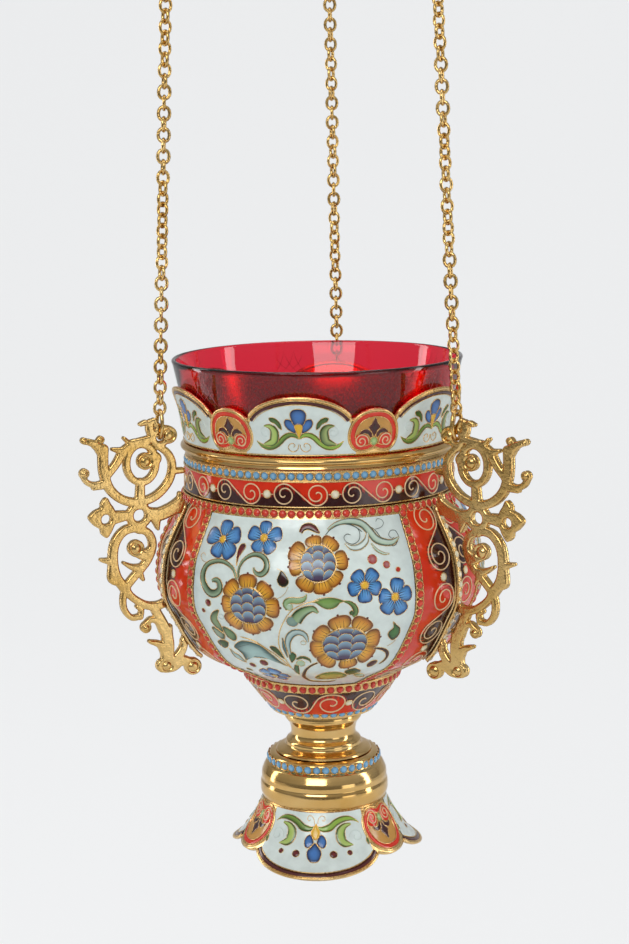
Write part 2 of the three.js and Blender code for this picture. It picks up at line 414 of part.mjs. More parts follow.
// A closed wire round an oval with half-round ends, in the plane of X and Z.
function wireOval(wide, long, wire, steps, sides) {
  const points = [], faces = [];
  const flatEnd = steps % 4 ? 1 / Math.cos(Math.PI / steps) : 1;   // six steps end in a flat, which is brought out to full length
  for (let i = 0; i < steps; i++) {
    const t = 2 * Math.PI * i / steps;
    const nx = Math.cos(t), nz = Math.sin(t) * flatEnd;
    const x = (wide - wire) / 2 * nx, z = (wide - wire) / 2 * nz + (long - wide) / 2 * Math.sign(Math.round(nz * 100));
    for (let k = 0; k < sides; k++) {
      const s = Math.PI + 2 * Math.PI * k / sides, out = wire / 2 * Math.cos(s), up = wire / 2 * Math.sin(s);
      points.push(x + out * nx, up, z + out * nz);
      const a = i * sides + k, b = i * sides + (k + 1) % sides;
      const c = ((i + 1) % steps) * sides + (k + 1) % sides, d = ((i + 1) % steps) * sides + k;
      faces.push(a, c, b, a, d, c);
    }
  }
  const geometry = new THREE.BufferGeometry();
  geometry.setAttribute('position', new THREE.Float32BufferAttribute(points, 3));
  geometry.setIndex(faces);
  return geometry;
}

// Places a geometry made about the chain's own line (s along Z) on the lamp, for a bracket at +X.
const onChain = (geometry, s) => geometry.translate(0, 0, s).rotateY(-CHAIN_LEAN).translate(EYE_R, 0, EYE_Z);

// Chain: cable links turned a quarter from one to the next, joined where they bear.
function chain() {
  return union(Array.from({ length: LINKS }, (_, i) => {
    const link = wireOval(LINK_WIDE, LINK_LONG, WIRE, 6, 3);
    if (i % 2) link.rotateZ(Math.PI / 2);
    return solid(onChain(link, FIRST_LINK + i * LINK_PITCH));
  })).simplify(0.05);
}
function lowRing() {
  const ring = wireOval(LOW_RING_WIDE, LOW_RING_LONG, RING_WIRE, 12, 4).rotateZ(Math.PI / 2);
  return solid(onChain(ring, LOW_RING_TOP - (LOW_RING_LONG - RING_WIRE) / 2));
}
function topRing() {
  const ring = wireOval(TOP_RING, TOP_RING, RING_WIRE, 10, 4).rotateZ(Math.PI / 2);
  return solid(onChain(ring, TOP_RING_LOW + (TOP_RING - RING_WIRE) / 2));
}

// Hanger: a hub with three cast arms, an eye bolt through it and the hanging ring.
const HUB_Z = TOP_EYE_Z + 9;
function hanger() {
  const arm = [[HUB_R - 1, HUB_Z - 1], [18, HUB_Z + 1.6], [32, HUB_Z - 2.4], [43, TOP_EYE_Z + 0.6], [TOP_EYE_R, TOP_EYE_Z]];
  const one = casting([stroke({ line: arm, width: [ARM_WIDE, ARM_NARROW] }), oval(TOP_EYE_R, TOP_EYE_Z, ARM_BOSS_R), oval(ARM_KNOT_R, HUB_Z - 2, ARM_KNOT)], [oval(TOP_EYE_R, TOP_EYE_Z, EYE_BORE, EYE_BORE, 10)], ARM_T);
  const hub = turned([[BOLT_R + 0.2, HUB_Z - 5], [4, HUB_Z - 5], [5, HUB_Z - 4], [HUB_R, HUB_Z - 2], [HUB_R, HUB_Z + 2], [5, HUB_Z + 4], [BOLT_R + 0.2, HUB_Z + 4]], 14);
  return union([hub, ...BRACKET_ANGLES.map((angle) => one.rotate([0, 0, angle]))]);
}
const BOLT_R = 2, BOLT_EYE_R = 4.2, BOLT_EYE_WIRE = 2.2;
const BOLT_EYE_Z = HUB_Z + 4 + SEAT + 1.5 + BOLT_EYE_R + BOLT_EYE_WIRE / 2;
const HANG_RING_LOW = BOLT_EYE_Z + BOLT_EYE_R - BOLT_EYE_WIRE / 2 - HANG_RING_WIRE / 2 - RING_PLAY;
const HANG_RING_Z = HANG_RING_LOW + HANG_RING_R;
const HOLD_Z = HANG_RING_Z + HANG_RING_R;
function eyeBolt() {
  const low = HUB_Z - 5 - SEAT - 5;
  const shank = turned([[0, low], [BOLT_R, low], [BOLT_R, HUB_Z + 4 + SEAT], [3.4, HUB_Z + 4 + SEAT], [3.4, HUB_Z + 4 + SEAT + 1.6], [1.8, BOLT_EYE_Z - BOLT_EYE_R], [0, BOLT_EYE_Z - BOLT_EYE_R]], 12);
  return shank.add(solid(new THREE.TorusGeometry(BOLT_EYE_R, BOLT_EYE_WIRE / 2, 5, 12).rotateX(Math.PI / 2).rotateZ(Math.PI / 2).translate(0, 0, BOLT_EYE_Z)));
}
function capNut() {
  const top = HUB_Z - 5 - SEAT, rod = BOLT_R + ROD_CLEARANCE;
  const body = solid(new THREE.CylinderGeometry(4, 4, 3.6, 6).rotateX(Math.PI / 2).translate(0, 0, top - 1.8));
  return body.subtract(solid(new THREE.CylinderGeometry(rod, rod, 6, 12).rotateX(Math.PI / 2).translate(0, 0, top - 1.8)));
}

// Assembly
add('glass_cup', geometryOf(glassCup()), GLASS);
wickFloat();
add('crown', geometryOf(crown()), ENAMEL_WHITE);
add('collar', geometryOf(collar()), GILT);
add('upper_band', geometryOf(upperBand()), ENAMEL_RED);
add('bowl', geometryOf(bowl()), ENAMEL_WHITE);
add('lower_band', geometryOf(lowerBand()), ENAMEL_RED);
add('stem', geometryOf(stem()), GILT);
add('dome', geometryOf(dome()), GILT);
add('foot_skirt', geometryOf(footSkirt()), ENAMEL_WHITE);
tieRod();
const oneRib = rib(), oneBracket = bracket(), oneChain = chain(), oneLowRing = lowRing(), oneTopRing = topRing();
['back', 'left', 'right'].forEach((side, i) => {
  add(`rib_${side}`, geometryOf(oneRib), GILT, BRACKET_ANGLES[i]);
  add(`bracket_${side}`, geometryOf(oneBracket), GILT, BRACKET_ANGLES[i]);
  add(`chain_${side}`, geometryOf(oneChain), GILT, BRACKET_ANGLES[i]);
  add(`jump_ring_${side}`, geometryOf(oneLowRing), GILT, BRACKET_ANGLES[i]);
  add(`top_ring_${side}`, geometryOf(oneTopRing), GILT, BRACKET_ANGLES[i]);
});
add('hanger', geometryOf(hanger()), GILT);
add('eye_bolt', geometryOf(eyeBolt()), GILT);
add('hanger_nut', geometryOf(capNut()), GILT);
add('hanging_ring', geometryOf(solid(new THREE.TorusGeometry(HANG_RING_R, HANG_RING_WIRE / 2, 6, 16).rotateX(Math.PI / 2).translate(0, 0, HANG_RING_Z))), GILT);

console.log(`hold point ${HOLD_Z.toFixed(2)} mm above the foot, top eyes at ${TOP_EYE_Z.toFixed(2)}, chain lean ${(CHAIN_LEAN / DEG).toFixed(2)} degrees`);
console.log(`glass foot ${GLASS_FOOT_Z.toFixed(2)}, floor ${GLASS_FLOOR_Z.toFixed(2)}, throat radius ${THROAT_R.toFixed(2)}, sway ratio ${(-TOP_EYE_R / EYE_R).toFixed(4)}`);

const counts = Object.entries(parts).map(([name, mesh]) => [name, mesh.geometry.index.count / 3]);
console.log(`${counts.length} nodes, ${counts.reduce((sum, [, n]) => sum + n, 0)} triangles: ${counts.map((row) => row.join(' ')).join(', ')}`);

const part = new THREE.Group();
lamp.position.z = -HOLD_Z;
part.add(lamp);
export default part;
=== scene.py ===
# %% [markdown]
# # Hanging vigil lamp
# A ruby glass cup stands in an enamelled bowl of gilt brass on a small foot. Three openwork brackets carry
# three cable chains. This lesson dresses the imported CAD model: every turned surface, bracket, link, wire,
# bead and painted leaf is a surface given by a formula, and sizes come from the CAD nodes where they have
# them.

import bmesh
import bpy
import numpy as np
from mathutils import Matrix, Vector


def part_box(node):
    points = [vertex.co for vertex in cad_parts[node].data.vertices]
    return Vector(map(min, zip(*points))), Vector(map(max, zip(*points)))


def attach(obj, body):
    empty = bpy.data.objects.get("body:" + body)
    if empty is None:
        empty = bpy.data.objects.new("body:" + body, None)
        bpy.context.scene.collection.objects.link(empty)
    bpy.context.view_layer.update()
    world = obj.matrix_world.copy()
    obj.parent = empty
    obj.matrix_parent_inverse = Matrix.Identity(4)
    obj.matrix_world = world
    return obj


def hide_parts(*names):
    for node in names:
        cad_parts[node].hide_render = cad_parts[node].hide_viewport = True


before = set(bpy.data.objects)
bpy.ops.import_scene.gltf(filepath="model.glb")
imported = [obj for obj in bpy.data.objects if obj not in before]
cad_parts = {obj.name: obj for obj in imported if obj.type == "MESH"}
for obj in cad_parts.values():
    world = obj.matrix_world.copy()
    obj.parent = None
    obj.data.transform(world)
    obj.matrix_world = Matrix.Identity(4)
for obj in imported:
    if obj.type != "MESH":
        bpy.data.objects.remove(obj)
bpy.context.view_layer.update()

# %% [markdown]
# ## Sizes read from the frame
# Work is done in millimetres. Heights are counted from the foot's lowest edge, and an azimuth of 0 degrees
# is the front (-Y), with positive angles towards +X. Only the last step of each piece turns these into
# metres.

# %% Radii and heights of the turned pieces
MM = 0.001
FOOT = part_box("foot_skirt")[0].z / MM


def reach(node):
    """Largest radius and lowest and highest height of a turned CAD node, in mm above the foot."""
    low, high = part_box(node)
    return high.x / MM, low.z / MM - FOOT, high.z / MM - FOOT


RIM_R, GLASS_FOOT_H, RIM_H = reach("glass_cup")
CROWN_BASE_H, CROWN_TOP_H = reach("crown")[1:]
COLLAR_LOW_H, COLLAR_TOP_H = reach("collar")[1:]
BAND_R, BAND_LOW_H, BAND_TOP_H = reach("upper_band")
BELLY_R, FLOOR_H, BOWL_TOP_H = reach("bowl")
LOWER_R, LOWER_FOOT_H, LOWER_TOP_H = reach("lower_band")
STEM_R, STEM_FOOT_H, STEM_TOP_H = reach("stem")
DOME_R, DOME_FOOT_H, DOME_TOP_H = reach("dome")
FOOT_R, SKIRT_TOP_H = -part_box("foot_skirt")[0].y / MM, reach("foot_skirt")[2]
BELLY_H = FLOOR_H + 34.6
FLOOR_R = LOWER_R + 0.6
BOWL_TOP_R = BAND_R + 0.6
THROAT_R = BAND_R - 2.5
EYE_R, EYE_H = BELLY_R + 0.6, BOWL_TOP_H + 20.8
BRACKETS = {"back": 180.0, "left": -60.0, "right": 60.0}
print(f"belly {BELLY_R:.1f} mm, rim {RIM_R:.1f} mm at {RIM_H:.1f} mm, foot {FOOT_R:.1f} mm")

# %% [markdown]
# ## Curves and turned surfaces
# A smooth line is a Catmull-Rom curve through a few points. A turned surface is a profile of radius and
# height run round the axis, and it can lay a flat drawing on itself: across becomes an angle, down becomes
# a length along the profile, and lift moves a point along the surface's normal.


# %% Lines, rings and turned surfaces
def smooth(points, steps=8, closed=False):
    """Catmull-Rom curve through points. Between p1 and p2 at share t it is half of
    2 p1 + (p2 - p0) t + (2 p0 - 5 p1 + 4 p2 - p3) t squared + (3 p1 - p0 - 3 p2 + p3) t cubed."""
    p = np.asarray(points, float)
    ends = (p[-1:], p[:2]) if closed else (2 * p[:1] - p[1:2], 2 * p[-1:] - p[-2:-1])
    a = np.concatenate([ends[0], p, ends[1]])
    t = np.linspace(0, 1, steps, endpoint=False)[None, :, None]
    p0, p1, p2, p3 = (a[i : len(a) - 3 + i, None] for i in range(4))
    line = 2 * p1 + (p2 - p0) * t + (2 * p0 - 5 * p1 + 4 * p2 - p3) * t**2
    line = 0.5 * (line + (3 * p1 - p0 - 3 * p2 + p3) * t**3)
    line = line.reshape(-1, p.shape[1])
    return line if closed else np.concatenate([line, p[-1:]])


def spaced(line, count):
    """The same line as count points at equal steps of its length."""
    line = np.asarray(line, float)
    run = np.concatenate([[0], np.cumsum(np.linalg.norm(np.diff(line, axis=0), axis=1))])
    at = np.linspace(0, run[-1], count)
    return np.stack([np.interp(at, run, line[:, k]) for k in range(line.shape[1])], 1)


def side_of(line, closed=False):
    """Unit vectors square to a flat line, to the left of its run."""
    if closed:
        step = np.roll(line, -1, axis=0) - np.roll(line, 1, axis=0)
    else:
        step = np.gradient(line, axis=0)
    step = step / np.maximum(np.linalg.norm(step, axis=1, keepdims=True), 1e-9)
    return np.stack([-step[:, 1], step[:, 0]], 1)


def circle(steps):
    """Equal steps of one full turn, in radians."""
    return np.linspace(0, 2 * np.pi, steps, endpoint=False)


def pair(a, b):
    """Points [a, b] from two arrays stretched to one shape."""
    return np.stack(np.broadcast_arrays(a, b), -1)


def ellipse(across, down, steps):
    """Points across cos t and down sin t, at equal steps of t."""
    angle = circle(steps)
    return pair(across * np.cos(angle), down * np.sin(angle))


def squared(angle, power):
    """Cosine and sine of an angle, with their sizes raised to a power below 1, which squares a circle off."""
    return (np.sign(v) * np.abs(v) ** power for v in (np.cos(angle), np.sin(angle)))


def place(radius, azimuth, height, side=0.0):
    """Points in metres in the row frame. x = r sin a + side cos a, y = -r cos a + side sin a."""
    a = np.radians(azimuth)
    x = radius * np.sin(a) + side * np.cos(a)
    y = -radius * np.cos(a) + side * np.sin(a)
    return np.stack(np.broadcast_arrays(x, y, height + FOOT), -1) * MM


class Turned:
    """A smooth profile of [radius, height], from its top edge down, run round the axis."""

    def __init__(self, profile, steps=240, straight=False):
        profile = np.asarray(profile, float)
        self.line = spaced(profile if straight else smooth(profile, 12), steps)
        step = np.gradient(self.line, axis=0)
        step /= np.linalg.norm(step, axis=1, keepdims=True)
        self.out = np.stack([-step[:, 1], step[:, 0]], 1)
        self.length = np.linalg.norm(np.diff(self.line, axis=0), axis=1).sum()

    def at(self, azimuth, down, lift=0.0):
        """Surface point at an angle and a length down the profile, moved out along the normal."""
        where = np.asarray(down) / self.length * (len(self.line) - 1)
        count = np.arange(len(self.line))
        radius, height, out_r, out_h = (np.interp(where, count, v) for v in (*self.line.T, *self.out.T))
        return place(radius + lift * out_r, azimuth, height + lift * out_h)

    def down_at(self, height):
        """Length down the profile at which a height is reached."""
        return np.interp(-height, -self.line[:, 1], np.linspace(0, self.length, len(self.line)))

    def radius_at(self, down):
        """Radius at a length down the profile."""
        return np.interp(down, np.linspace(0, self.length, len(self.line)), self.line[:, 0])


def between(start, end, shares):
    """Profile points from shares of the way in radius and in height."""
    start, end = np.array(start, float), np.array(end, float)
    return start + (end - start) * np.array(shares, float)


# %% [markdown]
# ## Meshes and colours
# Shapes are gathered as grids of points, and a `Mesh` makes one Blender mesh of them. Each point carries its
# enamel colour in an attribute called paint, and each face is either gilt or enamel.


# %% Colours and gathered grids
def tone(code):
    """A colour written as six hex digits, in linear light."""
    c = np.array([int(code[i : i + 2], 16) for i in (0, 2, 4)]) / 255
    return np.where(c <= 0.04045, c / 12.92, ((c + 0.055) / 1.055) ** 2.4)


WHITE, PALE = tone("dce8e4"), tone("bccbcd")
RED, DEEP_RED, MAROON = tone("d92d0c"), tone("a51c10"), tone("36100f")
BLUE, DARK_BLUE, LIGHT_BLUE = tone("3f76ba"), tone("16264f"), tone("62a6dc")
TURQUOISE, TURQUOISE_LIGHT, CREAM, YELLOW = tone("5a97c4"), tone("8cbcdc"), tone("ddd2b0"), tone("e3b52c")
ORANGE, OCHRE, BROWN = tone("efb83c"), tone("bb6420"), tone("5a200c")
LEAF, PALE_LEAF = tone("7fa457"), tone("b9cf8e")
CELL_GOLD, CELL_LINE = tone("c99343"), tone("e8c79a")
CREAM_LIGHT, RIM_BROWN = tone("f2ecd6"), tone("5a1512")
GILT, ENAMEL = 0, 1
BARE = tone("b9862f")      # what gilt points carry in the paint attribute


def mix(a, b, share):
    """Colours from a to b, one for each share."""
    share = np.asarray(share, float)[..., None]
    return np.asarray(a) * (1 - share) + np.asarray(b) * share


def grid_faces(rows, cols, wrap_rows, wrap_cols):
    """Quads of a grid of points, first down and then across."""
    index = np.arange(rows * cols).reshape(rows, cols)
    if wrap_rows:
        index = np.concatenate([index, index[:1]])
    if wrap_cols:
        index = np.concatenate([index, index[:, :1]], axis=1)
    return np.stack([index[:-1, :-1], index[1:, :-1], index[1:, 1:], index[:-1, 1:]], -1).reshape(-1, 4)


def outwards(points, quads):
    """The quads of a closed shape, turned over if they face inwards, which the sign of its volume shows."""
    p = points - points.mean(0)
    a, b, c, d = (p[quads[:, k]] for k in range(4))
    volume = (np.cross(a, b) * c).sum() + (np.cross(a, c) * d).sum()
    return quads[:, ::-1] if volume < 0 else quads


def in_scene(name, data):
    """A new object for a mesh, a light or a camera, linked to the scene."""
    thing = bpy.data.objects.new(name, data)
    bpy.context.scene.collection.objects.link(thing)
    return thing


class Gathered:
    """Points with quads, colours and finishes, gathered shape by shape."""

    def __init__(self):
        self.points, self.quads, self.paint, self.finish, self.count = [], [], [], [], 0

    def put(self, points, quads, colour=BARE, finish=GILT):
        """Adds points and quads. Colour is one colour or one for each point."""
        points = np.asarray(points, float).reshape(-1, 3)
        self.points.append(points)
        self.quads.append(quads + self.count)
        self.paint.append(np.broadcast_to(np.asarray(colour, float), points.shape).copy())
        self.finish.append(np.broadcast_to(finish, len(quads)).copy())
        self.count += len(points)

    def joined(self):
        """All points, quads, colours and finishes."""
        return (np.concatenate(part) for part in (self.points, self.quads, self.paint, self.finish))


class Mesh(Gathered):
    """Grids of points in metres that end as one mesh with a gilt and an enamel slot."""

    def grid(self, points, wrap_rows=True):
        """Adds a closed gilt grid of points, rows first."""
        quads = grid_faces(*points.shape[:2], wrap_rows, True)
        flat = points.reshape(-1, 3)
        self.put(flat, outwards(flat, quads))

    def copies(self, placed, quads):
        """Adds many gilt copies of one small shape. placed is an array of copies by points by 3."""
        number, size = placed.shape[:2]
        first = np.arange(number)[:, None, None] * size
        self.put(placed, (first + outwards(placed[0], quads)[None]).reshape(-1, 4))

    def make(self, name, body, materials, slot, replaces=()):
        """The finished object: like points merged, faces smooth, riding on its CAD body."""
        points, quads, paint, finish = self.joined()
        mesh = bpy.data.meshes.new(name)
        mesh.from_pydata(points, [], quads.tolist())
        rgba = np.concatenate([paint, np.ones((len(paint), 1))], 1)
        layer = mesh.attributes.new("paint", "FLOAT_COLOR", "POINT")
        layer.data.foreach_set("color", rgba.astype(np.float32).ravel())
        mesh.polygons.foreach_set("material_index", finish.astype(np.int32))
        for material in materials:
            mesh.materials.append(material)
        work = bmesh.new()
        work.from_mesh(mesh)
        bmesh.ops.remove_doubles(work, verts=work.verts, dist=2e-7)
        bmesh.ops.dissolve_degenerate(work, edges=work.edges, dist=1e-8)
        work.to_mesh(mesh)
        work.free()
        mesh.polygons.foreach_set("use_smooth", np.ones(len(mesh.polygons), bool))
        mesh.update()
        piece = in_scene(name, mesh)
        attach(piece, body)
        if replaces:
            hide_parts(*replaces)
        faces = sum(len(p.vertices) - 2 for p in mesh.polygons)
        print(f"{name}: {faces} triangles")


# %% [markdown]
# ## Materials
# A material is a small tree of nodes. `add` makes a node and feeds its sockets at once, which keeps the trees
# below short: a socket gets either a number, a colour or the output of another node.


# %% Nodes and their sockets
def give(tree, node, inputs):
    """Feeds a node's inputs. An output of another node is linked, and a number or a colour is set."""
    for label, value in dict(inputs).items():
        if isinstance(value, bpy.types.NodeSocket):
            tree.links.new(value, node.inputs[label])
        else:
            node.inputs[label].default_value = value


def add(tree, kind, inputs=(), **settings):
    """A new shader node with its settings and inputs."""
    node = tree.nodes.new("ShaderNode" + kind)
    for label, value in settings.items():
        setattr(node, label, value)
    give(tree, node, inputs)
    return node


def new_material(name):
    """A material with an empty node tree apart from its output and its main shader."""
    material = bpy.data.materials.new(name)
    material.use_nodes = True
    tree = material.node_tree
    tree.nodes.clear()
    shader = add(tree, "BsdfPrincipled", location=(300, 0))
    add(tree, "OutputMaterial", {"Surface": shader.outputs["BSDF"]}, location=(600, 0))
    return material, tree, shader


def new_group(name, inputs):
    """A node group that puts out the colour, roughness and height of a surface, with its two end nodes."""
    group = bpy.data.node_groups.new(name, "ShaderNodeTree")
    for label, value in inputs.items():
        kind = "NodeSocketColor" if isinstance(value, tuple) else "NodeSocketFloat"
        group.interface.new_socket(label, in_out="INPUT", socket_type=kind).default_value = value
    for label in ("Color", "Roughness", "Height"):
        kind = "NodeSocketColor" if label == "Color" else "NodeSocketFloat"
        group.interface.new_socket(label, in_out="OUTPUT", socket_type=kind)
    start, end = group.nodes.new("NodeGroupInput"), group.nodes.new("NodeGroupOutput")
    start.location, end.location = (-900, 0), (700, 0)
    return group, start.outputs, end


def noise_in(tree, where, scale, detail, place_at):
    """The value of a noise texture on object coordinates, which keep the pattern on its piece."""
    inputs = {"Vector": where.outputs["Object"], "Scale": scale, "Detail": detail}
    return add(tree, "TexNoise", inputs, location=place_at).outputs["Fac"]


def ranged(tree, value, low, high, place_at, start=0.3, end=0.7):
    """A value between start and end made to run from low to high."""
    inputs = {"Value": value, "From Min": start, "From Max": end, "To Min": low, "To Max": high}
    return add(tree, "MapRange", inputs, location=place_at).outputs["Result"]


def blended(tree, share, a, b):
    """A colour between a and b."""
    return add(tree, "Mix", {"Factor": share, "A": a, "B": b}, data_type="RGBA").outputs["Result"]


def worked_out(tree, operation, *values):
    """The result of a Math node."""
    return add(tree, "Math", enumerate(values), operation=operation).outputs[0]


def bump_from(tree, height, strength, distance, shader):
    """Feeds a height into the shader's normal."""
    inputs = {"Height": height, "Strength": strength, "Distance": distance}
    give(tree, shader, {"Normal": add(tree, "Bump", inputs, location=(0, -300)).outputs["Normal"]})


# %% [markdown]
# Two effects are shared, so they are node groups: the cloudy wear of old gilding and the slight unevenness of
# fired enamel.


# %% Gilding wear and fired enamel
def gilding_group():
    """Gilding wear: rich and pale gold in soft clouds, rougher where it is pale, with fine casting grain."""
    group, start, end = new_group("Gilding wear", {
        "Rich": (0.83, 0.49, 0.13, 1), "Pale": (0.93, 0.66, 0.28, 1), "Roughness": 0.2, "Waves": 0.0})
    where = add(group, "TexCoord")
    clouds = ranged(group, noise_in(group, where, 60, 4, (-600, 200)), 0.0, 1.0, (-300, 200))
    grain = noise_in(group, where, 1400, 3, (-600, -200))
    waves = noise_in(group, where, 420, 3, (-600, -500))
    spread = ranged(group, grain, 0.75, 1.35, (-300, -200))
    give(group, end, {
        "Color": blended(group, clouds, start["Rich"], start["Pale"]),
        "Roughness": worked_out(group, "MULTIPLY", start["Roughness"], spread),
        "Height": worked_out(group, "MULTIPLY_ADD", waves, start["Waves"], grain)})
    return group


def enamel_group():
    """Fired enamel: the painted colour with a faint mottle, an uneven gloss and a soft orange-peel height."""
    group, start, end = new_group("Fired enamel", {"Paint": (0.8, 0.8, 0.8, 1), "Mottle": 0.12})
    where = add(group, "TexCoord")
    peel = noise_in(group, where, 700, 2, (-600, -200))
    light = ranged(group, noise_in(group, where, 260, 4, (-600, 200)), -1.0, 0.6, (-300, 200))
    amount = worked_out(group, "MULTIPLY_ADD", light, start["Mottle"], 1.0)
    shade = add(group, "VectorMath", {0: start["Paint"], "Scale": amount}, operation="SCALE")
    gloss = ranged(group, peel, 0.08, 0.26, (-300, -200))
    give(group, end, {"Color": shade.outputs["Vector"], "Roughness": gloss, "Height": peel})
    return group


GILDING, FIRED = gilding_group(), enamel_group()


# %% [markdown]
# The finishes of the real lamp: polished, cast and wire gilding, enamel in the colours of its paint
# attribute, ruby glass, cork, cotton and cut glass.


# %% Finishes
def gilt(name, rich, pale, roughness, grain, waves):
    """Gilt brass: the wear group on a metal shader. Grain is the depth of the fine surface in metres, and
    waves is how many times deeper its broad unevenness is."""
    material, tree, shader = new_material(name)
    inputs = {"Rich": (*rich, 1), "Pale": (*pale, 1), "Roughness": roughness, "Waves": waves}
    wear = add(tree, "Group", node_tree=GILDING)
    give(tree, wear, inputs)
    give(tree, shader, {
        "Base Color": wear.outputs["Color"], "Roughness": wear.outputs["Roughness"], "Metallic": 1.0})
    bump_from(tree, wear.outputs["Height"], 0.5, grain, shader)
    return material


def enamel(name, mottle):
    """Enamel in the colour of the paint attribute, under a clear glossy coat."""
    material, tree, shader = new_material(name)
    paint = add(tree, "Attribute", attribute_name="paint").outputs["Color"]
    fired = add(tree, "Group", node_tree=FIRED)
    give(tree, fired, {"Paint": paint, "Mottle": mottle})
    give(tree, shader, {
        "Base Color": fired.outputs["Color"], "Roughness": fired.outputs["Roughness"],
        "Coat Weight": 0.2, "Coat Roughness": 0.04})
    bump_from(tree, fired.outputs["Height"], 0.25, 0.00006, shader)
    return material


def ruby_glass():
    """Deep ruby glass with a little unevenness in its wall."""
    material, tree, shader = new_material("ruby glass")
    where = add(tree, "TexCoord")
    clouds = noise_in(tree, where, 18, 2, (-300, 200))
    tint = blended(tree, clouds, (0.70, 0.008, 0.03, 1), (0.80, 0.02, 0.05, 1))
    give(tree, shader, {"Base Color": tint, "Roughness": 0.02, "IOR": 1.5, "Transmission Weight": 1.0})
    bump_from(tree, noise_in(tree, where, 35, 2, (-300, -200)), 0.15, 0.0004, shader)
    return material


def plain(name, dark, light, scale, roughness, depth):
    """A dull material: two tones in fine noise, with matching relief."""
    material, tree, shader = new_material(name)
    grain = noise_in(tree, add(tree, "TexCoord"), scale, 6, (-300, 100))
    tint = blended(tree, ranged(tree, grain, 0.0, 1.0, (-100, 100)), (*dark, 1), (*light, 1))
    give(tree, shader, {"Base Color": tint, "Roughness": roughness})
    bump_from(tree, grain, 0.6, depth, shader)
    return material


POLISHED = gilt("polished gilding", (0.66, 0.39, 0.11), (0.79, 0.54, 0.23), 0.12, 0.00001, 0.0)
CAST = gilt("cast gilding", (0.62, 0.38, 0.11), (0.79, 0.55, 0.23), 0.19, 0.00006, 5.0)
WIRE_GOLD = gilt("wire gilding", (0.76, 0.48, 0.17), (0.86, 0.62, 0.30), 0.24, 0.00002, 0.0)
ENAMELS = enamel("fired enamel", 0.10)
RUBY = ruby_glass()
CORK = plain("cork", tone("8a6238"), tone("c79d68"), 500, 0.85, 0.0004)
COTTON = plain("cotton wick", tone("cfc6ae"), tone("f1ead8"), 1600, 0.95, 0.0003)
SCRATCHED = plain("wheel engraving", tone("b0303a"), tone("e0808a"), 900, 0.5, 0.0001)
print("materials", len(bpy.data.materials))

# %% [markdown]
# ## Flat drawings
# All ornament is drawn flat, in millimetres: x to the right, y down, and a lift off the ground. A leaf is a
# ribbon of changing width, a cell wire is a thin tube, a bead is a small dome with a gilt ring. `lay` bends a
# whole drawing on to a turned surface at one or more angles.


# %% Drawings and how they are laid on
class Drawing(Gathered):
    """Flat shapes with a lift, as points [x, y, lift]. A shape that is given no colour is gilt."""

    def shape(self, xy, lift, colour=None, wrap_rows=False, wrap_cols=False, closed=False):
        """Adds a grid. An open one is turned to face the viewer, a closed one to face outwards."""
        rows, cols = xy.shape[:2]
        lift = np.broadcast_to(lift, (rows, cols))
        points = np.concatenate([xy, lift[..., None]], -1).reshape(-1, 3)
        quads = grid_faces(rows, cols, wrap_rows, wrap_cols)
        seen = points[:, [1, 0, 2]]
        if closed:
            quads = outwards(seen, quads)
        else:
            a, b, d = seen[quads[:, 0]], seen[quads[:, 1]], seen[quads[:, 3]]
            quads = quads[:, ::-1] if np.cross(b - a, d - a)[:, 2].sum() < 0 else quads
        paint = np.broadcast_to(BARE if colour is None else colour, (rows, cols, 3))
        self.put(points, quads, paint.reshape(-1, 3), GILT if colour is None else ENAMEL)

    def ribbon(self, line, half, left, right=None, base=-0.06, rise=0.22, edge=None):
        """A leaf or stroke: a line widened by half on each side. Lift = base + rise times the square root of
        1 - v squared, where v runs from -1 to 1 across. Colour runs from left to right, dark at the edges."""
        half = np.broadcast_to(half, len(line))
        v = np.array([-1, -0.8, -0.4, 0, 0.4, 0.8, 1])
        xy = line[:, None] + side_of(line)[:, None] * half[:, None, None] * v[None, :, None]
        colour = mix(left, left if right is None else right, (v + 1) / 2)
        if edge is not None:
            colour[[0, 1, -2, -1]] = edge
        self.shape(xy, base + rise * np.sqrt(1 - v**2), colour)

    def wire(self, line, radius=0.13, base=0.1, closed=False, sides=5, colour=None):
        """A round wire along a flat line. Its ends are drawn to a point."""
        line, angle = np.asarray(line, float), circle(sides)
        size = np.full(len(line), float(radius))
        if not closed:
            size[[0, -1]] = 0.0
        xy = line[:, None] + side_of(line, closed)[:, None] * (size[:, None] * np.cos(angle))[..., None]
        self.shape(xy, base + size[:, None] * np.sin(angle), colour, closed, True, True)

    def disc(self, centre, across, down, rim=None, middle=None, base=-0.06, rise=0.25, spokes=16, rings=4):
        """A dome over an ellipse. Lift = base + rise times the square root of 1 - share squared."""
        share = np.cos(np.linspace(0, np.pi / 2, rings + 1))
        xy = np.array(centre) + share[:, None, None] * ellipse(across, down, spokes)[None]
        lift = base + rise * np.sqrt(1 - np.minimum(share, 1) ** 2)[:, None]
        self.shape(xy, lift, None if rim is None else mix(middle, rim, share)[:, None], wrap_cols=True)

    def ring(self, centre, across, down, radius=0.13, base=0.1, steps=20):
        """A wire round an ellipse."""
        self.wire(np.array(centre) + ellipse(across, down, steps), radius, base, closed=True)

    def bead(self, centre, radius, colour, light, squash=1.0):
        """A round enamel drop in a gilt ring. Squash is how far the surface narrows the drawing there."""
        self.disc(centre, radius * 0.92 / squash, radius * 0.92, colour, light, 0.0, radius * 0.5, 10, 3)
        self.ring(centre, radius * 0.99 / squash, radius * 0.99, radius * 0.11, 0.1, 10)

    def pearl(self, centre, radius):
        """A gilt granule."""
        self.disc(centre, radius, radius, base=0.05, rise=radius * 0.9, spokes=6, rings=2)


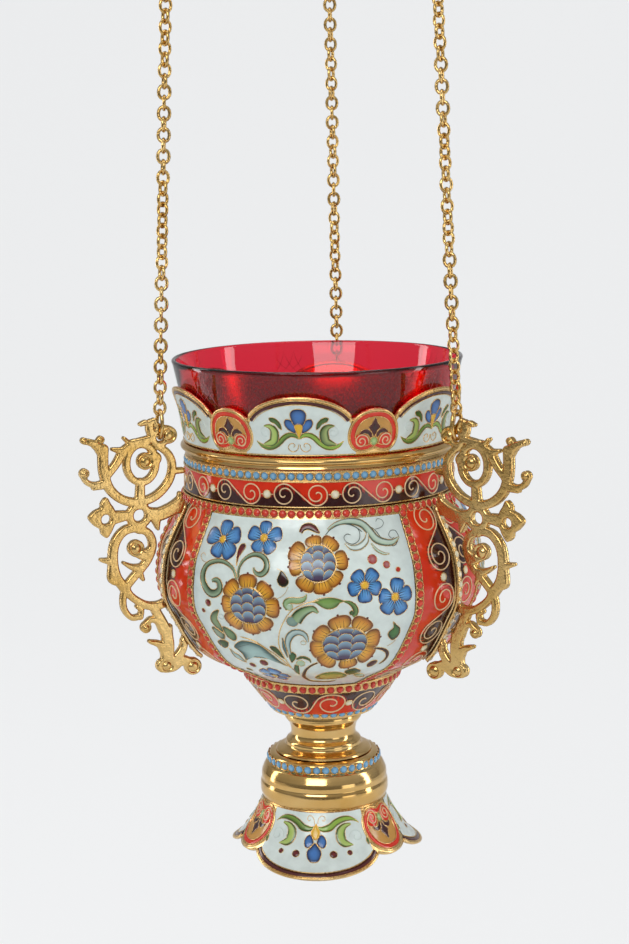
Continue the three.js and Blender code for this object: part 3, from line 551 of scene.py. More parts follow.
def spiral(centre, start, end, turns, first, steps=18):
    """A spiral line: the radius falls evenly from start to end over a number of turns, whose sign sets
    its way round. first is the angle of its outer end, in degrees, clockwise from the right."""
    share = np.linspace(0, 1, int(abs(turns) * steps) + 1)
    angle = np.radians(first) + share * turns * 2 * np.pi
    radius = start + (end - start) * share
    return np.array(centre) + pair(radius * np.cos(angle), radius * np.sin(angle))


def lay(drawing, surface, azimuths, nominal, mesh, shift=(0, 0, 0)):
    """Bends a drawing, moved by shift, on to a turned surface. Widths are true at the nominal radius."""
    points, quads, paint, finish = drawing.joined()
    across, down, lift = (points + np.array(shift)).T
    for azimuth in azimuths:
        mesh.put(surface.at(azimuth + np.degrees(across / nominal), down, lift), quads, paint, finish)


# %% [markdown]
# ## Turned metal
# A turned piece is one closed sheet: its profile goes down the outside and comes back up the inside.


# %% Lathe and profiles
def lathe(mesh, outline, steps):
    """Runs a closed outline of [radius, height] round the axis. Points on the axis merge into a pole."""
    outline = np.asarray(outline, float)
    azimuth = np.linspace(0, 360, steps, endpoint=False)
    mesh.grid(place(outline[:, None, 0], azimuth[None], outline[:, None, 1]))


def turned_piece(node, body, outline, steps, materials, slot):
    """A turned piece in the place of its CAD node."""
    mesh = Mesh()
    lathe(mesh, outline, steps)
    mesh.make(f"{node}_look", body, materials, slot, [node])


def rounded(outline, size=0.25, steps=3):
    """A closed outline whose corners are cut by short arcs, so that edges catch light."""
    p = np.asarray(outline, float)
    back, front = np.roll(p, 1, axis=0) - p, np.roll(p, -1, axis=0) - p
    limit = np.minimum(np.linalg.norm(back, axis=1), np.linalg.norm(front, axis=1)) * 0.4
    cut = np.minimum(size, limit)[:, None]
    a = p + back / np.maximum(np.linalg.norm(back, axis=1, keepdims=True), 1e-9) * cut
    b = p + front / np.maximum(np.linalg.norm(front, axis=1, keepdims=True), 1e-9) * cut
    t = np.linspace(0, 1, steps)[None, :, None]
    arc = (1 - t) ** 2 * a[:, None] + 2 * t * (1 - t) * p[:, None] + t**2 * b[:, None]
    return arc.reshape(-1, 2)


WALL = 1.3
GROUND = -0.35      # enamel grounds lie this far inside the CAD surface, so wires and beads end at it
FIELD_LIFT, CELL_LIFT, CELL_WIRE = GROUND + 0.12, GROUND + 0.2, 0.11
BOWL_PROFILE = np.concatenate([
    between([FLOOR_R, FLOOR_H], [BELLY_R, BELLY_H], [[0, 0], [0.254, 0.116], [0.532, 0.243], [0.69, 0.393],
        [0.866, 0.659], [0.972, 0.835], [1, 1]]),
    between([BELLY_R, BELLY_H], [BOWL_TOP_R, BOWL_TOP_H], [[0.021, 0.135], [0.146, 0.37], [0.417, 0.572],
        [0.771, 0.791], [0.938, 0.916], [1, 1]])])[::-1]
BOWL = Turned(BOWL_PROFILE)
BAND = Turned([[BAND_R, BAND_TOP_H], [BAND_R, BAND_LOW_H]], straight=True)
LOWER = Turned(between([LOWER_R - 9.6, LOWER_FOOT_H], [LOWER_R, LOWER_TOP_H], [[0.958, 0.789], [0.854, 0.762],
    [0.542, 0.476], [0.167, 0.15]]), straight=True)
NECK_R, CROWN_LENGTH = THROAT_R + 2.3, CROWN_TOP_H - CROWN_BASE_H
CROWN_FULL_H = CROWN_BASE_H + 20.1
CROWN = Turned(between([NECK_R, CROWN_BASE_H], [NECK_R + 4.4, CROWN_FULL_H],
    [[1, 1], [0.59, 0.711], [0.295, 0.463], [0.09, 0.214], [0, 0]]))
SKIRT_NECK_R = DOME_R - 0.6
SKIRT = Turned(between([SKIRT_NECK_R, SKIRT_TOP_H], [FOOT_R, 0], [[0, 0], [0.104, 0.185], [0.269, 0.402],
    [0.493, 0.63], [0.746, 0.837], [1, 1]]))
print(f"bowl profile {BOWL.length:.1f} mm long, crown {CROWN.length:.1f} mm, skirt {SKIRT.length:.1f} mm")

# %% Collar and stem
collar_face = between([BAND_R, COLLAR_LOW_H], [BAND_R + 1, COLLAR_TOP_H],
    [[-0.2, 1], [0.4, 0.87], [0.8, 0.76], [0.9, 0.64], [0.8, 0.52], [0.4, 0.44], [-0.3, 0.36], [-0.9, 0.28],
     [-0.6, 0]])
collar = rounded([[THROAT_R, COLLAR_TOP_H], *smooth(collar_face, 3), [THROAT_R, COLLAR_LOW_H]], 0.1)
turned_piece("collar", "lamp", collar, 192, [POLISHED, ENAMELS], "gilt_brass")
NECK = STEM_R - 5.6
stem_face = between([NECK, STEM_FOOT_H], [NECK + 1, STEM_TOP_H], [[1.4, 1], [2, 0.915], [2.15, 0.84],
    [2, 0.77], [0.6, 0.638], [0, 0.454], [0.4, 0.336], [1.8, 0.243], [2.2, 0.125], [4.8, 0.06], [5.6, 0]])
stem_inner = between([NECK, STEM_FOOT_H], [NECK + 1, STEM_TOP_H], [[3.9, 0], [0.6, 0.138], [-WALL, 0.454],
    [0.6, 0.9], [-8.2, 0.9], [-8.2, 1]])
stem = rounded([*smooth(stem_face, 5), *stem_inner], 0.12, 2)
turned_piece("stem", "lamp", stem, 144, [POLISHED, ENAMELS], "gilt_brass")

# %% [markdown]
# ## Glass cup
# A plain tapered tumbler with a rounded rim and a thick base. Wheel-cut lines cross each other below the rim.

# %% Tumbler and engraving
TAPER = 0.212
GLASS_FLOOR_H, GLASS_WALL = GLASS_FOOT_H + 3, 2.2


def glass_r(h):
    """Outer radius of the glass at a height."""
    return RIM_R - (RIM_H - h) * TAPER


rim_angle = np.linspace(0, np.pi, 7)
rim = np.stack([RIM_R - 0.75 + 0.75 * np.cos(rim_angle), RIM_H - 0.75 + 0.75 * np.sin(rim_angle)], 1)
wall_down = np.linspace(RIM_H - 2, GLASS_FLOOR_H + 2, 24)
glass_outline = [
    [0, GLASS_FOOT_H], [glass_r(GLASS_FOOT_H) - 2, GLASS_FOOT_H],
    [glass_r(GLASS_FOOT_H) - 0.6, GLASS_FOOT_H + 0.5], [glass_r(GLASS_FOOT_H + 2), GLASS_FOOT_H + 2],
    *np.stack([glass_r(wall_down[::-1]), wall_down[::-1]], 1), *rim,
    *np.stack([glass_r(wall_down) - GLASS_WALL + 0.9 * np.exp(-(RIM_H - wall_down) / 6), wall_down], 1),
    [glass_r(GLASS_FLOOR_H) - GLASS_WALL - 0.8, GLASS_FLOOR_H + 0.5],
    [glass_r(GLASS_FLOOR_H) - GLASS_WALL - 2.4, GLASS_FLOOR_H], [0, GLASS_FLOOR_H]]
turned_piece("glass_cup", "glass", glass_outline, 160, [RUBY], "ruby_glass")

engraving = Mesh()
WALL_FACE = Turned([[RIM_R, RIM_H], [glass_r(RIM_H - 30), RIM_H - 30]], straight=True)
cuts = Drawing()
for lean in (-1, 1):
    for k in range(3):
        foot_x = lean * (k - 1) * 3.5
        cut = spaced(smooth([[foot_x - lean * 4, 13.5 - k], [foot_x, 8.5], [foot_x + lean * 2, 3.0 + k]]), 14)
        cuts.ribbon(cut, 0.07 * np.sin(np.linspace(0, np.pi, 14)), tone("d08088"), base=0.0, rise=0.03)
lay(cuts, WALL_FACE, (-44, 62, 128, 200, 250), RIM_R, engraving)
engraving.make("glass_engraving", "glass", [SCRATCHED, SCRATCHED], "ruby_glass")

# %% [markdown]
# ## Float with its wick
# Cork disc, brass tube and cotton wick on the floor of the dry cup.

# %% Cork, tube and wick
cork_r, cork_low, cork_high = reach("float_cork")
tube_r, _, tube_high = reach("float_tube")
wick_high = reach("wick")[2]
cork = rounded([[2.4, cork_low], [cork_r - 0.8, cork_low], [cork_r, cork_low + 0.8],
    [cork_r, cork_high - 0.8], [cork_r - 0.8, cork_high], [2.4, cork_high]], 0.4)
turned_piece("float_cork", "float", cork, 64, [CORK], "cork")
tube = rounded([[1.4, cork_low], [2.2, cork_low], [2.2, cork_high + 0.3], [tube_r, cork_high + 0.3],
    [tube_r, tube_high], [1.4, tube_high]], 0.12)
turned_piece("float_tube", "float", tube, 48, [POLISHED], "gilt_brass")
strand = np.linspace(0, 1, 40)
wick_side = pair(1.1 + 0.07 * np.sin(strand * 90), cork_low + strand * (wick_high - cork_low - 0.3))
turned_piece("wick", "float", [[0, cork_low], *wick_side, [0.6, wick_high], [0, wick_high]], 24, [COTTON],
    "cotton")

# %% [markdown]
# ## Crown
# Six lobes and six palmettes rise from the collar. The edge height is the higher of two half ellipses, so the
# sheet is a grid whose top row follows that edge.

# %% Crown sheet and the fields of its lobes
LOBE = (7.6, CROWN_LENGTH, 22.5)      # height of the notches, full height, half width in degrees
PALMETTE = (7.3, CROWN_LENGTH - 4.4, 10.5)
SLANT = 1.03      # length along the crown's profile for each mm of height
CROWN_NOMINAL = 49.0


def arch(offset, half_width):
    """Half an ellipse over an angle: the square root of 1 - (offset / half width) squared."""
    return np.sqrt(np.maximum(0, 1 - (offset / half_width) ** 2))


def from_nearest(angle, start, spacing):
    """Angle to the nearest of a row of equally spaced angles."""
    turn = np.mod(angle - start, spacing)
    return np.minimum(turn, spacing - turn)


def arch_top(offset, notch, high, half_width):
    """Length down the crown's full profile to the edge of an arch, at an angle from its middle."""
    return CROWN.length - (notch + (high - notch) * arch(offset, half_width)) * SLANT


def crown_edge(azimuth):
    """Length down to the crown's edge: a lobe or a palmette, whichever is higher."""
    lobes = arch_top(from_nearest(azimuth, 0, 60), *LOBE)
    return np.minimum(lobes, arch_top(from_nearest(azimuth, 30, 60), *PALMETTE))


def edged_sheet(mesh, surface, edge, steps, rows, downwards=False):
    """A closed sheet of even wall whose top edge, or lower edge, follows a function of the angle."""
    azimuth = np.linspace(0, 360, steps, endpoint=False)
    limit = edge(azimuth)
    share = np.linspace(0, 1, rows)[:, None]
    down = share * limit[None] if downwards else limit[None] + share * (surface.length - limit[None])
    outer = surface.at(azimuth[None], down, GROUND)
    inner = surface.at(azimuth[None], down, -WALL)[::-1]
    mesh.grid(np.concatenate([outer, inner]))


crown = Mesh()
edged_sheet(crown, CROWN, crown_edge, 360, 14)
lobe = Drawing()
# Field and border of one lobe: lines set in from the edge by fixed distances
PER_DEGREE = np.radians(1) * CROWN_NOMINAL
lobe_az = np.linspace(-20.6, 20.6, 61)
edge_line = pair(lobe_az * PER_DEGREE, arch_top(lobe_az, *LOBE))
edge_in = side_of(edge_line)
lobe.wire(edge_line + edge_in * 0.1, 0.62, -0.5, sides=8)
lobe.ribbon(edge_line + edge_in * 1.45, 0.62, MAROON, RIM_BROWN, GROUND, 0.24)
lobe.wire(edge_line + edge_in * 2.2, 0.16, CELL_LIFT)
lobe.wire(edge_line + edge_in * 0.8, 0.14, CELL_LIFT)
FIELD_HALF = 22.6      # degrees
field_az = np.linspace(-FIELD_HALF, FIELD_HALF, 45)
field_top = arch_top(field_az, *LOBE) + 2.2
field_y = field_top[None] + np.linspace(0, 1, 6)[:, None] * (CROWN.length - 0.5 - field_top)[None]
lobe.shape(pair(field_az * PER_DEGREE, field_y), FIELD_LIFT, WHITE)
hem = np.linspace(-FIELD_HALF, FIELD_HALF, 40) * PER_DEGREE
lobe.wire(pair(hem, CROWN.length - 0.6), 0.28, CELL_LIFT)
print("crown edge points", len(edge_line))

# %% [markdown]
# The lobe's flower: a blue iris with a yellow middle between two scrolled acanthus leaves, mirrored about the
# lobe's axis. Coordinates are millimetres from that axis and down from the lobe's highest line.


# %% Leaves, flowers and hairs
def leaf(drawing, points, half, left, right, base=-0.05, rise=0.24, edge=None, count=26):
    """A painted leaf along a smooth line, with cell wire on both edges. Half lists its half widths at even
    steps of its length."""
    line = spaced(smooth(points), count)
    half = np.interp(np.linspace(0, 1, count), np.linspace(0, 1, len(half)), half)
    drawing.ribbon(line, half, left, right, FIELD_LIFT + base, rise, edge)
    off = side_of(line) * half[:, None]
    drawing.wire(np.concatenate([line + off, (line - off)[::-1]]), CELL_WIRE, CELL_LIFT, closed=True)


def blob(drawing, points, inner, edge, base=0.0, rise=0.28):
    """A painted shape with a closed smooth outline, drawn in rings that close on its middle. Lift = base +
    rise times the square root of 1 - share squared. The edge colour takes over in its outer half."""
    outline = smooth(points, 5, True)
    middle, share = outline.mean(0), np.array([1, 0.93, 0.82, 0.6, 0.3, 0])
    xy = middle + (outline - middle)[None] * share[:, None, None]
    colour = mix(inner, edge, np.clip((share - 0.5) / 0.4, 0, 1))[:, None]
    lift = GROUND + 0.1 + base + rise * np.sqrt(1 - share**2)[:, None]
    drawing.shape(xy, lift, colour, wrap_cols=True)
    drawing.wire(outline, CELL_WIRE, CELL_LIFT + base, closed=True)


def hair(drawing, points, radius, colour=None, count=24):
    """A thin free line of wire, or of paint where it is given a colour."""
    drawing.wire(spaced(smooth(points), count), radius, CELL_LIFT, colour=colour)


def mirrored(points, way):
    """Points mirrored about the drawing's axis where way is -1."""
    return np.asarray(points, float) * np.array([way, 1])


GRASS, SHADE, LIME = tone("93b545"), tone("24421c"), tone("c3d583")
for way in (-1, 1):
    lit, dim = (GRASS, SHADE) if way > 0 else (SHADE, GRASS)
    leaf(lobe, mirrored([[0, 14.4], [1.6, 13.3], [3.4, 13.2], [5.2, 14.2], [6.8, 15.8], [8.8, 17.1],
        [11, 17.6], [13.2, 17], [15, 15.5]], way), [0.3, 0.8, 0.9, 0.9, 0.9, 0.9, 0.8, 0.6, 0.05], lit, GRASS,
        edge=SHADE)
    leaf(lobe, mirrored([[12.4, 16.6], [9.2, 15.6], [8.4, 13.4], [8.6, 11.6], [9.8, 10.4], [11.8, 10.2]],
        way), [0.3, 1.2, 1.6, 1.5, 1.0, 0.15], LIME if way < 0 else dim, dim if way < 0 else LIME, 0.04, 0.3,
        edge=SHADE)
    hair(lobe, mirrored([[11.6, 10.2], [13, 11.4], [13.1, 12.8], [11.9, 13.8], [10.6, 13.3], [10.5, 12.1],
        [11.5, 11.6], [12, 12.3]], way), 0.13, WHITE)
    blob(lobe, mirrored([[5.8, 11.4], [6, 9.5], [7.1, 8], [8.6, 7.2], [9.9, 7.6], [9.3, 8.8], [7.7, 9.6],
        [6.8, 10.8]], way), tone("4d6e2c"), SHADE)
    hair(lobe, mirrored([[0.2, 16.2], [0.7, 18.1], [2.4, 18.8], [3.8, 17.7], [3.4, 16.4], [2.1, 16],
        [1.5, 16.8], [2.2, 17.4]], way), 0.15)
    blob(lobe, mirrored([[4.8, 8.9], [4.2, 7.8], [3.1, 7.8], [2, 8.6], [0.8, 10.2], [1.1, 12.5], [2.8, 11.9],
        [4.3, 10.5]], way), BLUE, DARK_BLUE, 0.02)
blob(lobe, [[-2.5, 7.4], [-2.6, 5.7], [-1.6, 4.5], [0, 4.1], [1.6, 4.5], [2.6, 5.7], [2.5, 7.4], [1.7, 9.5],
    [0, 10.6], [-1.7, 9.5]], BLUE, DARK_BLUE, 0.08, 0.32)
for x in (-0.9, 0.1, 1.1):
    hair(lobe, [[x, 5.6], [x * 0.9, 7.6], [x * 0.6, 9.4]], 0.07, DARK_BLUE, 8)
blob(lobe, [[-1.4, 10.2], [-0.6, 9.4], [0.6, 9.4], [1.3, 10.4], [0.7, 12.6], [0, 14.2], [-0.7, 12.4]], YELLOW,
    ORANGE, 0.16, 0.3)

# %% [markdown]
# The palmettes are medallions: a gold field in a red rim that ends in two spirals. The foot's palmettes are
# the same thing upside down, so one function draws both.


# %% Palmettes
def egg_shape(right_half, last):
    """A closed outline from its right half and its last point on the axis."""
    return smooth([*right_half, last, *[[-x, y] for x, y in right_half[:0:-1]]], 5, True)


def shrunk(outline, middle, amount):
    """An outline drawn in towards its middle by a distance in mm."""
    away = outline - middle
    return middle + away * (1 - amount / np.linalg.norm(away, axis=1, keepdims=True))


def filled(drawing, outline, middle, lift, colour):
    """A filled closed outline, as rings that close on its middle."""
    share = np.linspace(1, 0, 6)[:, None, None]
    drawing.shape(middle + (outline - middle)[None] * share, lift, colour, wrap_cols=True)


def banded(drawing, outline, middle, outer, inner, colour, base, rise):
    """A closed band of enamel between two insets of an outline."""
    v = np.linspace(0, 1, 5)
    xy = np.stack([shrunk(outline, middle, outer + (inner - outer) * k) for k in v])
    drawing.shape(xy, base + rise * np.sqrt(1 - (2 * v - 1) ** 2)[:, None], colour, wrap_cols=True)


def medallion(drawing, outline, middle, curl, curl_r, up, fleur_y):
    """A red-banded palmette: gold field, red rim that ends in two spirals, a maroon fleur and a green drop.
    up is 1 where the fleur points to the top of the drawing and -1 where it points down."""
    base = CELL_LIFT
    filled(drawing, shrunk(outline, middle, 0.2), middle, base, CELL_GOLD)
    banded(drawing, outline, middle, 0.8, 2.5, RED, base, 0.18)
    drawing.wire(shrunk(outline, middle, 0.3), 0.42, -0.3, closed=True)
    drawing.wire(shrunk(outline, middle, 0.85), 0.13, base + 0.12, closed=True)
    drawing.wire(shrunk(outline, middle, 2.6), 0.17, base + 0.12, closed=True, sides=6)

    def fleur(points):
        """Fleur points: across, and away from its foot."""
        return [[x, fleur_y - up * y] for x, y in points]

    blob(drawing, fleur([[0, 6.2], [1.1, 4.3], [2.1, 2.9], [1.1, 1.5], [0.3, 0], [-0.3, 0], [-1.1, 1.5],
        [-2.1, 2.9], [-1.1, 4.3]]), MAROON, RIM_BROWN, 0.12, 0.2)
    for way in (-1, 1):
        blob(drawing, [[way * x, y] for x, y in fleur([[0.7, -0.2], [1, 1.2], [2.7, 2.4], [4.5, 2],
            [5.5, 0.4], [3.8, 0.9], [2.4, 0.6], [1.5, -0.6]])], MAROON, RIM_BROWN, 0.1, 0.16)
        centre = [way * curl[0], curl[1]]
        drawing.disc(centre, curl_r, curl_r, RED, RED, base + 0.05, 0.22, 22, 3)
        arm = spiral(centre, curl_r - 0.1, 0.4, up * way * 1.8, 90 * up + 70 * way)
        drawing.wire(arm, 0.2, base + 0.28, colour=CELL_LINE, sides=6)
    drop = [0, fleur_y + up * 1.9]
    drawing.disc(drop, 1.4, 1.5, LEAF, PALE_LEAF, base, 0.36, 14, 3)
    drawing.ring(drop, 1.4, 1.5, 0.11, base + 0.15)


palmette = Drawing()
crown_egg = egg_shape([[0, 5.1], [4.6, 6.1], [7.8, 9], [9.2, 12.8], [8.9, 16.4], [6.8, 19], [3.4, 19.5]],
    [0, 18.7])
medallion(palmette, crown_egg, np.array([0, 13.0]), (4.5, 15.9), 2.7, 1, 14.2)
lay(lobe, CROWN, np.arange(0, 360, 60), CROWN_NOMINAL, crown)
lay(palmette, CROWN, np.arange(30, 360, 60), CROWN_NOMINAL, crown)
crown.make("crown_look", "lamp", [WIRE_GOLD, ENAMELS], "enamel_white", ["crown"])

# %% [markdown]
# ## Spiral band
# The upper hoop repeats one pattern thirteen times. A wave parts a red ground above from a maroon one
# below. It runs over a maroon disc and under a red one, and a cream dot stands between the patterns.

# %% The running spiral
PERIODS = 13
BAND_LOW_Y, BAND_TOP_Y = BAND_TOP_H - BAND_LOW_H, 3.8
SPREAD = 0.238      # each disc's distance from the middle of its pattern, as a share of the pattern


def scroll_centres(start, run):
    """Middles of the two discs of a pattern that starts there and is run long."""
    return start + run * (0.5 - SPREAD), start + run * (0.5 + SPREAD)


def s_scroll(left, right, radius, turns=1.75):
    """An S of two spirals and the straight line that touches both. Going inwards, a spiral's radius is
    radius x (1 - share to the power 1.8), where share runs over its turns. Points are [across, down]."""
    left, right = np.asarray(left, float), np.asarray(right, float)
    gap = right - left
    touch = np.arccos(min(1.0, 2 * radius / np.hypot(*gap)))
    share = np.linspace(1, 0, int(turns * 26))
    angle = np.arctan2(gap[1], gap[0]) - touch - share * turns * 2 * np.pi
    arm = (radius * (1 - 0.93 * share**1.8))[:, None] * np.stack([np.cos(angle), np.sin(angle)], 1)
    return np.concatenate([left + arm, (right - arm)[::-1]])


def wave(x, centres, radius, middle):
    """Border of the grounds: over the first disc, along the touching line, under the second disc."""
    a, b = centres
    touch = np.arccos(min(1.0, 2 * radius / (b - a)))
    dx, dy = radius * np.cos(touch), radius * np.sin(touch)
    slope = np.interp(x, [a + dx, b - dx], [-dy, dy])
    over = -radius * np.sqrt(np.maximum(0, 1 - ((x - a) / radius) ** 2))
    under = radius * np.sqrt(np.maximum(0, 1 - ((x - b) / radius) ** 2))
    return middle + np.where(x < a + dx, over, np.where(x > b - dx, under, slope))


def spiral_band(drawing, period, top, low, base, line_r=0.24, flip=1):
    """One pattern of the band between two heights, starting at its cream dot. The upper ground is red, or
    maroon where flip is -1."""
    middle, radius = (top + low) / 2, (low - top) / 2 * 0.97
    centres = scroll_centres(0, period)
    over_discs = [c + radius * 0.97 * np.cos(np.linspace(0, np.pi, 25)) for c in centres]
    x = np.unique(np.concatenate([np.linspace(0, period, 41), *over_discs]))
    y = wave(x, centres, radius * 0.97, middle)
    v = np.linspace(0, 1, 4)[:, None]
    colours = (RED, MAROON) if flip > 0 else (MAROON, RED)
    if flip < 0:
        y = 2 * middle - y
    drawing.shape(pair(x[None], top + (y - top)[None] * v), base, colours[0])
    drawing.shape(pair(x[None], y[None] + (low - y)[None] * v), base, colours[1])
    scroll = s_scroll([centres[0], middle], [centres[1], middle], radius * 0.95)
    if flip < 0:
        scroll[:, 1] = 2 * middle - scroll[:, 1]
    drawing.wire(scroll, line_r, base + 0.1, colour=CELL_LINE, sides=6)
    for start, end in ((0, centres[0] - radius * 0.93), (centres[1] + radius * 0.93, period)):
        drawing.wire(spaced([[start, middle], [end, middle]], 5), line_r * 0.8, base + 0.08, colour=CELL_LINE)
    drawing.disc([0, middle], 1.3, 1.3, CREAM, CREAM_LIGHT, base, 0.7, 14, 4)
    drawing.ring([0, middle], 1.35, 1.35, 0.15, base + 0.12, 14)


band = Mesh()
GROOVE = 0.7      # depth of the groove under the turquoise beads
groove_top, groove_low = BAND_TOP_H - 0.8, BAND_TOP_H - 3.4
lathe(band, rounded([[BAND_R + GROUND, BAND_LOW_H], [BAND_R + GROUND, groove_low - 0.2],
    [BAND_R - GROOVE, groove_low], [BAND_R - GROOVE, groove_top], [BAND_R - 0.9, BAND_TOP_H],
    [BAND_R - WALL - 0.9, BAND_TOP_H], [BAND_R - WALL, BAND_LOW_H]], 0.08, 2), 208)
period = 2 * np.pi * BAND_R / PERIODS
spirals = Drawing()
spiral_band(spirals, period, BAND_TOP_Y + 0.1, BAND_LOW_Y - 0.5, GROUND + 0.1)
lay(spirals, BAND, 13.85 + np.arange(PERIODS) * 360 / PERIODS, BAND_R, band)
hoops = Drawing()
around = np.linspace(0, 2 * np.pi * BAND_R, 209)[:-1]
for y, radius, lift in ((BAND_TOP_Y - 0.25, 0.3, -0.2), (BAND_LOW_Y - 0.25, 0.28, -0.2), (0.5, 0.28, -0.75),
        (3.3, 0.26, -0.75)):
    angle = circle(6)
    xy = pair(around[:, None], y + np.cos(angle) * radius)
    hoops.shape(xy, lift + radius * np.sin(angle), None, True, True, True)
lay(hoops, BAND, [0], BAND_R, band)
band.make("upper_band_look", "lamp", [WIRE_GOLD, ENAMELS], "enamel_red", ["upper_band"])

# %% [markdown]
# ## Bead rows
# Beads are small domes in gilt rings, with granules between them. A row has a fixed count round the axis.


# %% Rows of beads
def bead_row(mesh, surface, down, count, radius, colour, light, lift, pearls=True):
    """Beads evenly round a turned surface at one length down its profile."""
    ring_r = float(np.hypot(*surface.at(0.0, down, 0.0)[:2])) / MM
    one = Drawing()
    one.bead([0, 0], radius, colour, light)
    if pearls:
        half_step = np.pi * ring_r / count
        one.pearl([half_step, -radius * 0.72], radius * 0.24)
        one.pearl([half_step, radius * 0.72], radius * 0.24)
    lay(one, surface, np.arange(count) * 360 / count, ring_r, mesh, (0, down, lift))


BEAD_RED, BEAD_LIGHT = tone("b82413"), tone("e2452a")
beads = Mesh()
bead_row(beads, BAND, 1.95, 96, 1.38, TURQUOISE, TURQUOISE_LIGHT, -0.75)
beads.make("turquoise_beads", "lamp", [WIRE_GOLD, ENAMELS], "enamel_white")
beads = Mesh()
bead_row(beads, BOWL, 1.5, 100, 1.42, BEAD_RED, BEAD_LIGHT, -0.35, pearls=False)
beads.make("red_beads", "lamp", [WIRE_GOLD, ENAMELS], "enamel_red")

# %% [markdown]
# ## Bowl
# The shell is gilt. Three white panels, their bead columns and the red and maroon side bands lie on it as
# thin raised fields, and the metal shows between them.

# %% Shell and panel fields
bowl = Mesh()
inner = (BOWL.line - WALL * BOWL.out)[::-6]
outer = (BOWL.line + BOWL.out * (GROUND - 0.1))[::3]
shell = np.concatenate([outer, [[3.2, FLOOR_H], [3.2, FLOOR_H + WALL]], inner])
shell[:, 1] = np.clip(shell[:, 1], FLOOR_H, BOWL_TOP_H)
lathe(bowl, shell, 192)

NOMINAL = BELLY_R
DEG = np.radians(1) * NOMINAL      # mm across for one degree at the belly
PANEL_TOP, PANEL_LOW = 3.2, 78.4


def panel_half(down):
    """Half width of the white panel in degrees: even at first, narrower towards the foot."""
    return 40.3 - 9.5 * np.clip((down - 38) / 42, 0, 1) ** 1.6


fields = Drawing()
rows = np.linspace(PANEL_TOP, PANEL_LOW, 49)
corner = 1 - 0.05 * np.clip((rows - 74) / 4.4, 0, 1) ** 2
v = np.linspace(-1, 1, 41)
xy = pair(v[None] * (panel_half(rows) * corner * DEG)[:, None], rows[:, None])
shadow = 0.55 * np.abs(v[None]) ** 10 + 0.35 * np.clip((rows[:, None] - 66) / 14, 0, 1)
fields.shape(xy, FIELD_LIFT, mix(WHITE, PALE, np.clip(shadow, 0, 1)))
for way in (-1, 1):
    for shift in (0.45, 3.25):
        fields.wire(pair(way * (panel_half(rows) + shift) * DEG, rows), 0.2, GROUND + 0.25)
    for x, y in spaced(pair(way * (panel_half(rows) + 1.85) * DEG, rows), 26):
        squash = float(np.hypot(*BOWL.at(0.0, y, 0.0)[:2])) / MM / NOMINAL
        fields.bead([x, y], 1.45, BEAD_RED, BEAD_LIGHT, squash)
print("panel rows", len(rows))

# %% [markdown]
# Side bands: the same running S, turned upright beside each rib. Red ground lies at the panel, maroon at
# the rib, and a cream dot parts one S from the next.

# %% Side bands
RIB_AZ, SIDE_WIDTH = 59.0, 11.2
SIDE_DOTS = [-1.2, 26.7, 54.2, 78.6]


def beside_rib(down, away, way):
    """Points a length down and a distance from the rib, in drawing coordinates. Way is the panel's side."""
    azimuth = RIB_AZ - np.degrees(away / BOWL.radius_at(down))
    return pair(way * azimuth * DEG, down)


for way in (-1, 1):
    for first, last in zip(SIDE_DOTS[:-1], SIDE_DOTS[1:]):
        middle, radius = SIDE_WIDTH / 2, SIDE_WIDTH / 2 * 0.95
        centres = scroll_centres(first, last - first)
        over_discs = [c + radius * np.cos(np.linspace(0, np.pi, 21)) for c in centres]
        down = np.unique(np.concatenate([np.linspace(first, last, 33), *over_discs]))
        down = down[(down >= 0.6) & (down <= PANEL_LOW)][:, None]
        border = wave(down, centres, radius * 0.98, middle)
        panel_side = np.radians(RIB_AZ - panel_half(down) - 3.5) * BOWL.radius_at(down)
        v = np.linspace(0, 1, 5)
        fields.shape(beside_rib(down, border * v, way), GROUND + 0.1, MAROON)
        fields.shape(beside_rib(down, border + (panel_side - border) * v, way), GROUND + 0.1, RED)
        scroll = s_scroll([centres[0], middle], [centres[1], middle], radius * 0.96, 2.1)
        scroll = scroll[scroll[:, 0] < PANEL_LOW - 0.3]
        fields.wire(beside_rib(*scroll.T, way), 0.24, CELL_LIFT, colour=CELL_LINE, sides=6)
    for y in SIDE_DOTS[1:3]:
        centre = beside_rib(y, SIDE_WIDTH / 2, way)
        squash = float(BOWL.radius_at(y)) / NOMINAL
        fields.disc(centre, 1.35 / squash, 1.35, CREAM, CREAM_LIGHT, GROUND + 0.1, 0.6, 14, 4)
        fields.ring(centre, 1.4 / squash, 1.4, 0.15, GROUND + 0.25, 14)
lay(fields, BOWL, [0, 120, 240], NOMINAL, bowl)
bowl.make("bowl_look", "lamp", [WIRE_GOLD, ENAMELS], "enamel_white", ["bowl"])

# %% [markdown]
# ## Painting of the white panel
# Three sunflowers, five blue flowers, scrolls and leaves. Coordinates are millimetres right of the panel's
# middle and down from the bowl's upper edge.

# %% Petals and flowers
painting = Drawing()


